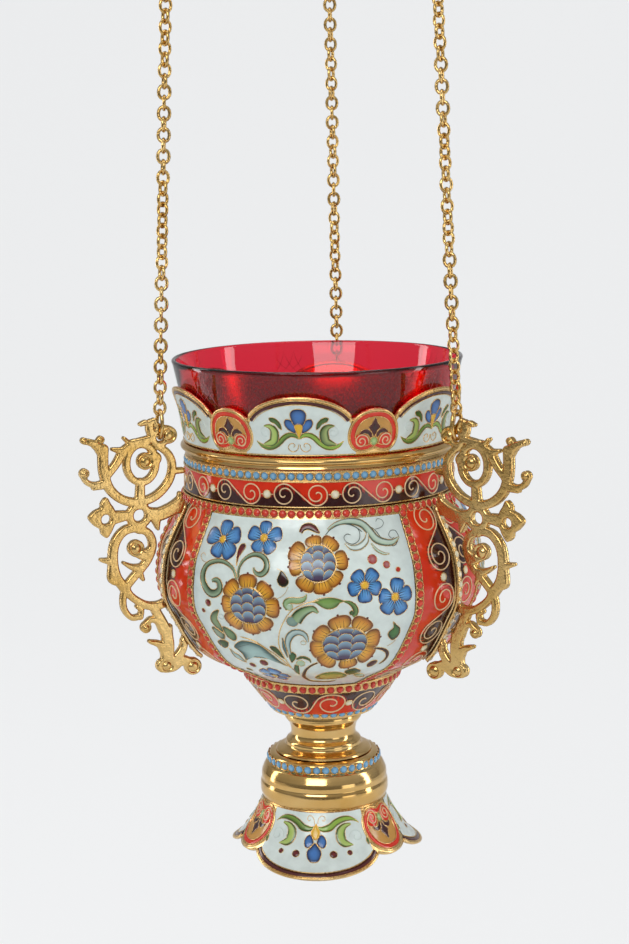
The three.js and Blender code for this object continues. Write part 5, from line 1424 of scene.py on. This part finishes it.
# %% Strokes of the casting
PLATE, RIB_RISE = 3.0, 1.4
STROKES = {
    "great_scroll": ([[1.4, 18.1], [-2.1, 15.1], [-3.5, 10.9], [-2.1, 5.7], [2.4, 1.2], [8.4, -0.6],
        [14.2, 0.7], [18.5, 4.6], [20.3, 9.9], [20.5, 14.9], [20.3, 18.3]], 2.5, 3.5),
    "bird_leaf": ([[21.2, 17.6], [23, 20], [27, 21.6]], 3.2, 1.9),
    "bird_beak": ([[22.8, 19.4], [21, 21.6]], 2.6, 2.2),
    "upper_bar": ([[2, 20.6], [7, 20.1], [11, 19.8], [13, 21.3]], 3, 1.3),
    "cross_leaf": ([[9.6, 19.3], [13.4, 17], [16, 13.1], [20, 8.5]], 3, 2.6),
    "cross_thorn": ([[13.6, 17], [17.1, 17.9]], 2.6, 1.3),
    "scroll_stem": ([[7.8, 6.1], [8.2, -0.1]], 2.8, 3.4),
    "ring_curl_root": ([[2.6, 13.8], [6, 13.2]], 4.6, 4.6),
    "hook": ([[20.4, 6.8], [23.4, 6.4], [26.2, 7.5], [27.8, 10]], 2.4, 1.7),
    "hook_thorn": ([[21, 6], [24.2, 5.3]], 2.4, 1.2),
    "eye_leaf": ([[2.2, 20.4], [4, 23.6], [3.6, 26.2]], 3.6, 2),
    "eye_leaf_tip": ([[3.9, 24.4], [5.2, 26], [7.2, 25.6]], 2.4, 1.4),
    "eye_brow": ([[-2.6, 23.2], [0.8, 24.4], [2.4, 26.6]], 2.6, 1.8),
    "fixing_lug": ([[-3.2, 9], [-7, 9]], 2.2, 2),
    "knot_to_scroll": ([[8.6, -0.9], [8.8, -9.1]], 4.6, 4.6),
    "shoulder_arm": ([[6, -4.8], [1.4, -5.3], [-4, -3.6], [-10.5, -2.9]], 4.6, 4.4),
    "shoulder_tip": ([[3, -6.2], [2.3, -10.2]], 3.8, 1.2),
    "shoulder_curl": ([[-3, -2.8], [-5.6, -0.6], [-6, 1]], 2.6, 1.7),
    "leaf_neck": ([[12, -4.6], [18, -5.1]], 3, 4.6),
    "ring_left": ([[9.4, -9.3], [5.6, -11.5], [4.3, -15.6], [6.2, -20.6], [10, -24.7], [14.4, -29.4]], 2.8,
        2.8),
    "ring_right": ([[8.6, -9], [14, -9.9], [17.4, -13.9], [18.3, -19.7], [17.3, -25.3], [14.4, -29.8]], 3,
        3.5),
    "ring_corner": ([[18.6, -21.5], [18.9, -26], [16.4, -27.3]], 2.8, 2.6),
    "ring_thorn": ([[18.8, -20], [22.4, -19.1]], 2.6, 1.3),
    "ring_curl": ([[5.2, -17.8], [7.6, -18.9], [10.2, -17.6]], 3.4, 3),
    "inner_leaf": ([[8.6, -23.2], [11.6, -22.6], [14.6, -20.9]], 3, 1.2),
    "inner_thorn": ([[9.5, -23.9], [8.1, -27.1]], 2.6, 1.3),
    "branch": ([[14.4, -29.2], [12.2, -32.7], [7.6, -36], [3.6, -36.7], [0, -35.9]], 2.5, 3),
    "branch_pad": ([[1, -35.9], [-5, -35.3]], 2.4, 2.2),
    "loop": ([[14.2, -29.4], [15.2, -33], [14.9, -36.8], [12.6, -39.8], [9.6, -39.9]], 2.2, 2),
    "loop_curl": ([[9.4, -39.9], [9, -37.6], [10.3, -36.4]], 2, 1.6),
    "trunk": ([[4.6, -37], [2.6, -41], [0.7, -45.5], [-0.1, -50], [0.2, -54], [0.4, -57.5]], 3, 4.8),
    "trunk_leaf": ([[-0.5, -49.5], [-1.2, -44.2]], 2.6, 1.2),
    "low_curl": ([[1.8, -46], [3.2, -42.7], [5.6, -41.3], [8, -43.1]], 2.2, 2),
    "outer_leaf": ([[0.8, -53.2], [2.8, -50.4], [6.3, -49]], 3.6, 1.4),
    "base": ([[2, -57.8], [-1.4, -58.2], [-4.6, -56.8], [-8.4, -58.1]], 4.8, 3.2),
    "inner_arm": ([[-2.8, -56.2], [-5.3, -52.7], [-6.4, -48.3]], 3.4, 2.2),
    "inner_pad": ([[-5.6, -50.1], [-10.5, -48.1]], 2.2, 2),
}
KNOBS = [[-2.4, 21.4, 3], [6, 13.1, 2.9], [10.2, -16.2, 2.9], [27.1, 10.6, 1.7], [21.2, 21.4, 1.3],
    [26.8, 21.4, 1.1], [0.2, -35.9, 1.7], [7.6, -43.9, 1.9], [0.6, -57.9, 2.5], [-8.8, -59.3, 3]]
LEAF_OUTLINE = [[18.5, -0.1], [19.5, 1.8], [20.8, 1.6], [22, -0.1], [22.1, -1.3], [24.5, -2.4], [26.3, -4.5],
    [24.5, -7.2], [22.5, -8.6], [22, -10.5], [20.2, -11.7], [18.7, -10.1], [17.7, -8.2], [16.6, -5.9],
    [16.8, -3.5], [17.5, -1.6]]
UPPER_RING = [7.4, 12.5, 5.1, 6.4, 2.5]
EYE, KNOT, LEAF_HOLE = [0.6, 20.8, 3.4, 1.35], [8.7, -5.1, 4.5, 2], [20.3, -5.4, 1.6]


def stroke_depth(points, line, start, end):
    """Distance outside a stroke: distance to its line less half the width there. Negative is inside."""
    line = smooth(line, 6)
    step = np.diff(line, axis=0)
    run = np.concatenate([[0], np.cumsum(np.linalg.norm(step, axis=1))])
    best = np.full(len(points), np.inf)
    for k in range(len(step)):
        share = np.clip(((points - line[k]) @ step[k]) / (step[k] @ step[k]), 0, 1)
        away = np.linalg.norm(points - line[k] - share[:, None] * step[k], axis=1)
        part = (run[k] + share * (run[k + 1] - run[k])) / run[-1]
        best = np.minimum(best, away - (start + (end - start) * part) / 2)
    return best


def outline_depth(points, outline):
    """Distance outside a closed outline, negative inside. Inside is found by counting crossed edges."""
    outline = smooth(outline, 5, True)
    ahead = np.roll(outline, -1, axis=0)
    best, inside = np.full(len(points), np.inf), np.zeros(len(points), bool)
    for p, q in zip(outline, ahead):
        share = np.clip(((points - p) @ (q - p)) / ((q - p) @ (q - p)), 0, 1)
        best = np.minimum(best, np.linalg.norm(points - p - share[:, None] * (q - p), axis=1))
        crosses = (p[1] > points[:, 1]) != (q[1] > points[:, 1])
        where = p[0] + (points[:, 1] - p[1]) * (q[0] - p[0]) / (q[1] - p[1] if q[1] != p[1] else 1e-9)
        inside ^= crosses & (points[:, 0] < where)
    return np.where(inside, -best, best)


def soft_union(a, b, blend=0.35):
    """The lower of two distances, with a fillet: min(a, b) - h squared x blend / 4, where
    h = max(1 - |a - b| / blend, 0)."""
    return np.minimum(a, b) - np.maximum(1 - np.abs(a - b) / blend, 0) ** 2 * blend / 4


def bracket_depth(points):
    """Distance outside the whole flat casting, at points [out, up]."""
    depth = outline_depth(points, LEAF_OUTLINE)
    for line, start, end in STROKES.values():
        depth = soft_union(depth, stroke_depth(points, line, start, end))
    turn = np.linspace(0, 2 * np.pi, 25)
    x, y, wide, high, width = UPPER_RING
    upper_ring = pair(x + wide * np.cos(turn), y + high * np.sin(turn))
    depth = soft_union(depth, stroke_depth(points, upper_ring, width, width))
    for out, up, size in [EYE[:3], KNOT[:3], *KNOBS]:
        depth = soft_union(depth, np.hypot(points[:, 0] - out, points[:, 1] - up) - size)
    for (out, up), bore in ((EYE[:2], EYE[3]), (KNOT[:2], KNOT[3]), (LEAF_HOLE[:2], LEAF_HOLE[2])):
        depth = np.maximum(depth, bore - np.hypot(points[:, 0] - out, points[:, 1] - up))
    height = BOWL_TOP_H + points[:, 1]
    seat = np.interp(-height, -BOWL.line[:, 1], BOWL.line[:, 0]) + RIB_RISE + 0.4
    seat = np.where(height > BOWL_TOP_H, BAND_R + 0.3, seat)
    return np.maximum(depth, (seat - BELLY_R - points[:, 0]) * 0.8)


# %% [markdown]
# The casting is a height field. A fine grid keeps the cells inside the outline, its edge points are moved
# on to the outline, and the face falls off in a round bevel: height = t - b + the square root of b squared
# - (b - d) squared, where d is the distance from the edge, t half the thickness and b the bevel.


# %% The casting as a height field
def casting(cell=0.26, bevel=0.6, groove=0.2):
    """Points [out, up, side] and quads of the bracket: front face, back face and a grooved wall between."""
    grid_x, grid_y = np.meshgrid(np.arange(-12.5, 29.5, cell), np.arange(-63.5, 28.6, cell))
    points = np.stack([grid_x.ravel(), grid_y.ravel()], 1)
    depth = bracket_depth(points)
    field = depth.reshape(grid_x.shape)
    slope_y, slope_x = np.gradient(field, cell)
    slope = np.stack([slope_x.ravel(), slope_y.ravel()], 1)
    slope /= np.maximum(np.linalg.norm(slope, axis=1, keepdims=True), 0.4)
    index = np.arange(len(points)).reshape(field.shape)
    quads = np.stack([index[:-1, :-1], index[:-1, 1:], index[1:, 1:], index[1:, :-1]], -1).reshape(-1, 4)
    quads = quads[(depth[quads] < 0.5 * cell).all(1)]
    near = depth > -0.5 * cell
    # two small steps on to the outline
    moved = points.copy()
    moved[near] -= slope[near] * depth[near, None]
    moved[near] -= slope[near] * bracket_depth(moved[near])[:, None]
    used, inverse = np.unique(quads, return_inverse=True)
    quads, moved, depth, slope = inverse.reshape(-1, 4), moved[used], depth[used], slope[used]
    inward = np.where(near[used], 0, -depth)
    half = PLATE / 2
    face = half - bevel + np.sqrt(np.maximum(0, bevel**2 - np.maximum(0, bevel - inward) ** 2))
    for out, up, size in KNOBS:
        away = np.hypot(moved[:, 0] - out, moved[:, 1] - up)
        boss = 0.35 * np.sqrt(np.maximum(0, 1 - (away / (0.5 * size)) ** 2))
        ditch = 0.4 * np.exp(-(((away - 0.62 * size) / 0.28) ** 2))
        face += (boss - ditch) * (inward > 0.3)
    # edges that only one cell uses are the outline
    edges = np.concatenate([quads[:, [0, 1]], quads[:, [1, 2]], quads[:, [2, 3]], quads[:, [3, 0]]])
    keys = np.sort(edges, axis=1)
    _, first, number = np.unique(keys[:, 0] * len(moved) + keys[:, 1], return_index=True, return_counts=True)
    one, other = edges[first[number == 1]].T
    count = len(moved)
    shoulder = (half - bevel) * 0.55
    layers = [np.column_stack([moved, face])]
    for level, inset in ((shoulder, 0.0), (0.0, groove), (-shoulder, 0.0)):
        layers.append(np.column_stack([moved - slope * inset, np.full(count, level)]))
    layers.append(np.column_stack([moved, -face]))
    wall = np.stack([other, one, one + count, other + count], -1)
    every = np.concatenate([quads, *(wall + k * count for k in range(4)), quads[:, ::-1] + 4 * count])
    used, inverse = np.unique(every, return_inverse=True)
    return np.concatenate(layers)[used], inverse.reshape(-1, 4)


bracket_points, bracket_quads = casting()
for name, azimuth in BRACKETS.items():
    bracket = Mesh()
    out, up, side = bracket_points.T
    placed = place(BELLY_R + out, azimuth, BOWL_TOP_H + up, side)
    bracket.put(placed, outwards(placed, bracket_quads))
    bracket.make(f"bracket_{name}_look", "lamp", [CAST, ENAMELS], "gilt_brass", [f"bracket_{name}"])

# %% [markdown]
# ## Chains and rings
# A link is a round wire along an oval. Forty-one of them stand on a straight line from the bracket's eye to
# the hanger's, each turned a quarter from the last, and the whole run twists slowly, as a hanging chain
# does.

# %% Links and rings
WIRE, LINK_LONG, LINK_WIDE, LINKS, BITE = 1.15, 5.6, 4.9, 41, 0.16
PITCH = LINK_LONG - 2 * WIRE + BITE
RING_WIRE, LOW_RING_LONG, LOW_RING_WIDE, TOP_RING, DROP, PLAY = 1.3, 10.6, 6.9, 7.0, 0.3, 0.2
TOP_EYE_R = 50.4
TOUCH = (RING_WIRE + WIRE) / 2 + PLAY
LOW_RING_TOP = LOW_RING_LONG - RING_WIRE - DROP
FIRST = LOW_RING_TOP - TOUCH + (LINK_LONG - WIRE) / 2
LAST = FIRST + (LINKS - 1) * PITCH
TOP_RING_LOW = LAST + (LINK_LONG - WIRE) / 2 - TOUCH
CHAIN = TOP_RING_LOW + (TOP_RING - RING_WIRE) - DROP
LEAN = np.arcsin((EYE_R - TOP_EYE_R) / CHAIN)
TOP_EYE_H = EYE_H + CHAIN * np.cos(LEAN)


def oval_wire(wide, long, wire, steps, sides):
    """A round wire along an oval in the plane of across and along: points [across, thick, along]."""
    t, a = circle(steps), circle(sides)
    flat = pair((wide - wire) / 2 * np.cos(t),
        (long - wire) / 2 * np.sign(np.sin(t)) * np.abs(np.sin(t)) ** 0.9)
    out = side_of(flat, True)
    off = flat[:, None] - out[:, None] * (wire / 2 * np.cos(a))[None, :, None]
    return np.stack([off[..., 0], np.broadcast_to(wire / 2 * np.sin(a), off.shape[:2]), off[..., 1]], -1)


def on_chain(across, thick, along, azimuth):
    """Puts points that are measured from the bracket's eye along the chain on the lamp."""
    out = EYE_R + across * np.cos(LEAN) - along * np.sin(LEAN)
    up = EYE_H + across * np.sin(LEAN) + along * np.cos(LEAN)
    return place(out, azimuth, up, thick)


def turned_about(points, angle):
    """Points turned about the chain's own line."""
    c, s = np.cos(angle), np.sin(angle)
    return points[..., 0] * c - points[..., 1] * s, points[..., 0] * s + points[..., 1] * c, points[..., 2]


link = oval_wire(LINK_WIDE, LINK_LONG, WIRE, 14, 6)
link_quads = grid_faces(14, 6, True, True)
number = np.arange(LINKS)
RINGS = (
    ("jump", LOW_RING_WIDE, LOW_RING_LONG, LOW_RING_TOP - (LOW_RING_LONG - RING_WIRE) / 2),
    ("top", TOP_RING, TOP_RING, TOP_RING_LOW + (TOP_RING - RING_WIRE) / 2))
for k, (name, azimuth) in enumerate(BRACKETS.items()):
    ends = np.sin(np.pi * number / (LINKS - 1))
    twist = number % 2 * np.pi / 2 + np.radians(34) * ends * np.sin(number * 0.33 + k * 2.1)
    across, thick, along = turned_about(link.reshape(1, -1, 3), twist[:, None])
    chain = Mesh()
    chain.copies(on_chain(across, thick, along + (FIRST + number * PITCH)[:, None], azimuth), link_quads)
    chain.make(f"chain_{name}_look", f"chain_{name}", [CAST], "gilt_brass", [f"chain_{name}"])
    for label, wide, long, middle in RINGS:
        ring = Mesh()
        across, thick, along = turned_about(oval_wire(wide, long, RING_WIRE, 36, 12), np.pi / 2)
        ring.grid(on_chain(across, thick, along + middle, azimuth))
        ring.make(f"{label}_ring_{name}_look", f"chain_{name}", [CAST], "gilt_brass",
            [f"{label}_ring_{name}"])

# %% [markdown]
# ## Hanger, eye bolt and hanging ring
# They are above the photographed view, and are as plain as such fittings are. The hanger is a hub with three
# bars, each of which ends in a boss with a hole.


# %% Bars, bosses and upright rings
def bar(line, start, end, thick, steps=40, sides=20):
    """A cast bar with round ends and a flat section with round corners, as points [out, up, side]."""
    line = spaced(smooth(line, 10), steps)
    run = np.linalg.norm(np.diff(line, axis=0), axis=1).sum()
    t = np.linspace(0, 1, steps)
    near = np.minimum(t * run / (start / 2), (1 - t) * run / (end / 2))
    fade = np.sqrt(np.maximum(0, 1 - (1 - np.minimum(near, 1)) ** 2))
    half = (start + (end - start) * t) / 2 * fade
    off, rise = squared(circle(sides) + np.pi / sides, 0.4)
    flat = line[:, None] + side_of(line)[:, None] * half[:, None, None] * off[None, :, None]
    return np.concatenate([flat, (thick * fade[:, None] ** 0.35 * rise[None])[..., None]], -1)


def washer(out, up, size, bore, thick, steps=36):
    """A round boss with a hole, as a closed ring of flat section."""
    angle = circle(steps)[:, None]
    off, rise = squared(circle(16)[None] + np.pi / 16, 0.4)
    radius = (size + bore) / 2 + off * (size - bore) / 2
    return np.stack(np.broadcast_arrays(out + radius * np.cos(angle), up + radius * np.sin(angle),
        thick * rise), -1)


def upright_ring(radius, wire, middle, steps=48, sides=14):
    """A round wire in an upright circle: how far across, how high and how thick each of its points is."""
    t, a = circle(steps)[:, None], circle(sides)[None]
    away = radius + wire / 2 * np.cos(a)
    return away * np.cos(t), middle + away * np.sin(t), wire / 2 * np.sin(a)


# %% Hanger and what holds it
HUB_H = TOP_EYE_H + 9
hanger = Mesh()
lathe(hanger, rounded([[2.2, HUB_H - 5], [4, HUB_H - 5], [5, HUB_H - 4], [7, HUB_H - 2], [7, HUB_H + 2],
    [5, HUB_H + 4], [2.2, HUB_H + 4]], 0.6, 4), 64)
arm = bar([[5.2, HUB_H - 1], [18, HUB_H + 1.6], [32, HUB_H - 2.4], [43, TOP_EYE_H + 0.6],
    [TOP_EYE_R - 1.5, TOP_EYE_H]], 5.5, 2.8, 1.5)
eye = washer(TOP_EYE_R, TOP_EYE_H, 2.9, 1.35, 1.5)
for azimuth in BRACKETS.values():
    for shape, closed in ((arm, False), (eye, True)):
        hanger.grid(place(shape[..., 0], azimuth, shape[..., 1], shape[..., 2]), closed)
hanger.make("hanger_look", "hanger", [CAST], "gilt_brass", ["hanger"])

bolt = Mesh()
BOLT_EYE_R, BOLT_WIRE = 4.2, 2.2
BOLT_EYE_H = HUB_H + 4 + 0.3 + 1.5 + BOLT_EYE_R + BOLT_WIRE / 2
low = HUB_H - 10.3
lathe(bolt, rounded([[0, low], [2, low], [2, HUB_H + 4.3], [3.4, HUB_H + 4.3], [3.4, HUB_H + 5.9],
    [1.8, BOLT_EYE_H - BOLT_EYE_R], [0, BOLT_EYE_H - BOLT_EYE_R]], 0.2, 3), 40)
across, height, thick = upright_ring(BOLT_EYE_R, BOLT_WIRE, BOLT_EYE_H)
bolt.grid(place(across, 0.0, height, thick))
bolt.make("eye_bolt_look", "hanger", [POLISHED], "gilt_brass", ["eye_bolt"])

ring = Mesh()
HANG_R, HANG_WIRE = 12.0, 3.0
across, height, thick = upright_ring(HANG_R, HANG_WIRE, -FOOT - HANG_R)
ring.grid(place(thick, 0.0, height, across))
ring.make("hanging_ring_look", "ring", [POLISHED], "gilt_brass", ["hanging_ring"])

# %% [markdown]
# The hidden fasteners keep their CAD meshes and take the gilt finish.

# %% Hidden fasteners
for name in ("tie_rod", "clamp_disc", "foot_nut", "hanger_nut"):
    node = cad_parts[name]
    node.data.materials.clear()
    node.data.materials.append(CAST)

# %% [markdown]
# ## Stage, light and camera
# A pale floor curves up into a backdrop. Two tall soft strips stand left and right, as the bright edges on
# the stem show in the photo. A broad, strong light fills from the front and above, another stands over the
# lamp, and a small low card lights the inside of the left bracket. The camera stands where the photo was
# taken.


# %% Backdrop
def backdrop_paper():
    """Pale paper. Camera and transmission rays see it near white, and it keeps the lamp's shadow."""
    material, tree, shader = new_material("backdrop paper")
    give(tree, shader, {"Base Color": (0.78, 0.78, 0.78, 1), "Roughness": 0.9})
    bump_from(tree, noise_in(tree, add(tree, "TexCoord"), 9, 3, (-300, -300)), 0.2, 0.0005, shader)
    path = add(tree, "LightPath").outputs
    glow = add(tree, "Emission", {"Color": (0.90, 0.91, 0.92, 1), "Strength": 1.0})
    seen = worked_out(tree, "MAXIMUM", path["Is Camera Ray"], path["Is Transmission Ray"])
    share = worked_out(tree, "MULTIPLY", seen, 0.85)
    blend = add(tree, "MixShader", {0: share, 1: shader.outputs[0], 2: glow.outputs[0]})
    output = next(n for n in tree.nodes if n.type == "OUTPUT_MATERIAL")
    give(tree, output, {"Surface": blend.outputs[0]})
    return material


def backdrop():
    """A pale floor that curves up into a wall: depth and height follow a quarter circle at the bend."""
    bend = np.linspace(0, np.pi / 2, 24)
    floor_h, radius, wall_y = -150.0, 700.0, 1900.0
    depth = np.concatenate([[-900.0], wall_y - radius + radius * np.sin(bend), [wall_y]])
    height = np.concatenate([[floor_h], floor_h + radius - radius * np.cos(bend), [3200.0]])
    x = np.linspace(-2200, 2200, 5)
    points = np.stack(np.broadcast_arrays(x[None], depth[:, None], height[:, None] + FOOT), -1) * MM
    mesh = bpy.data.meshes.new("backdrop")
    mesh.from_pydata(points.reshape(-1, 3), [], grid_faces(len(depth), 5, False, False)[:, ::-1].tolist())
    mesh.polygons.foreach_set("use_smooth", np.ones(len(mesh.polygons), bool))
    piece = in_scene("backdrop", mesh)
    mesh.materials.append(backdrop_paper())


backdrop()


# %% Lights
def standing(right, up, back, spot):
    """The matrix of a light or camera at a spot in metres, from its own three directions."""
    return Matrix([[right[k], up[k], back[k], spot[k]] for k in range(3)] + [[0, 0, 0, 1]])


def soft_light(name, at, size, power):
    """An oblong soft light at a place in metres, aimed at the bowl."""
    light = bpy.data.lights.new(name, "AREA")
    light.shape, light.size, light.size_y, light.energy = "RECTANGLE", *size, power
    lamp = in_scene(name, light)
    lamp.visible_camera = False
    back = np.array(at) - [0, 0, (FOOT + 90) * MM]
    back /= np.linalg.norm(back)
    right = np.cross([0, 0, 1], back)
    right /= np.linalg.norm(right)
    lamp.matrix_world = standing(right, np.cross(back, right), back, at)


MIDDLE_Z = (FOOT + 110) * MM
soft_light("left strip", (-0.95, 0.16, MIDDLE_Z + 0.15), (0.16, 1.0), 2.4)
soft_light("right strip", (0.94, 0.05, MIDDLE_Z + 0.10), (0.16, 1.0), 2.4)
soft_light("low card", (0.75, -0.60, MIDDLE_Z - 0.11), (0.4, 0.24), 0.4)
soft_light("front fill", (-0.25, -1.7, MIDDLE_Z + 0.95), (1.2, 0.7), 13)
soft_light("top", (0.0, 0.1, MIDDLE_Z + 1.3), (0.9, 0.9), 6)

# %% [markdown]
# The room is dim and even, a little lighter above, which gives the gilding something darker to show than the
# floor. The camera itself sees it as pale as the paper, so side views have the same ground.

# %% Room
world = bpy.data.worlds.new("studio")
bpy.context.scene.world = world
world.use_nodes = True
tree = world.node_tree
tree.nodes.clear()
split = add(tree, "SeparateXYZ", {"Vector": add(tree, "TexCoord").outputs["Generated"]})
dim = ranged(tree, split.outputs["Z"], 0.10, 0.55, (0, 0), -0.3, 0.8)
path = add(tree, "LightPath").outputs
level = add(tree, "Mix", {"Factor": path["Is Camera Ray"], "A": dim, "B": 0.9})
sky = add(tree, "Background", {"Color": (0.98, 0.99, 1, 1), "Strength": level.outputs["Result"]})
add(tree, "OutputWorld", {"Surface": sky.outputs["Background"]})

# %% Camera
CAMERA_DISTANCE, CAMERA_H, AXIS_SHIFT, LENS = 680.0, 251.2, 1.56, 75.8
CAMERA_AZIMUTH, CAMERA_PITCH, CAMERA_ROLL = np.radians(7.7), np.radians(9.7), np.radians(1.0)
away = np.array([np.sin(CAMERA_AZIMUTH), -np.cos(CAMERA_AZIMUTH), 0])
right = np.array([np.cos(CAMERA_AZIMUTH), np.sin(CAMERA_AZIMUTH), 0])
forward = np.array([*(-away[:2] * np.cos(CAMERA_PITCH)), -np.sin(CAMERA_PITCH)])
level_up = np.cross(right, forward)
camera_right = right * np.cos(CAMERA_ROLL) - level_up * np.sin(CAMERA_ROLL)
camera_up = level_up * np.cos(CAMERA_ROLL) + right * np.sin(CAMERA_ROLL)
spot = (away * CAMERA_DISTANCE - right * AXIS_SHIFT) * MM
spot[2] = (CAMERA_H + FOOT) * MM
camera = bpy.data.cameras.new("camera")
camera.lens, camera.sensor_fit, camera.sensor_width = LENS, "AUTO", 36
camera.clip_start, camera.clip_end = 0.01, 20
viewer = in_scene("camera", camera)
viewer.matrix_world = standing(camera_right, camera_up, -forward, spot)
bpy.context.scene.camera = viewer
bpy.context.scene.view_settings.view_transform = "Standard"
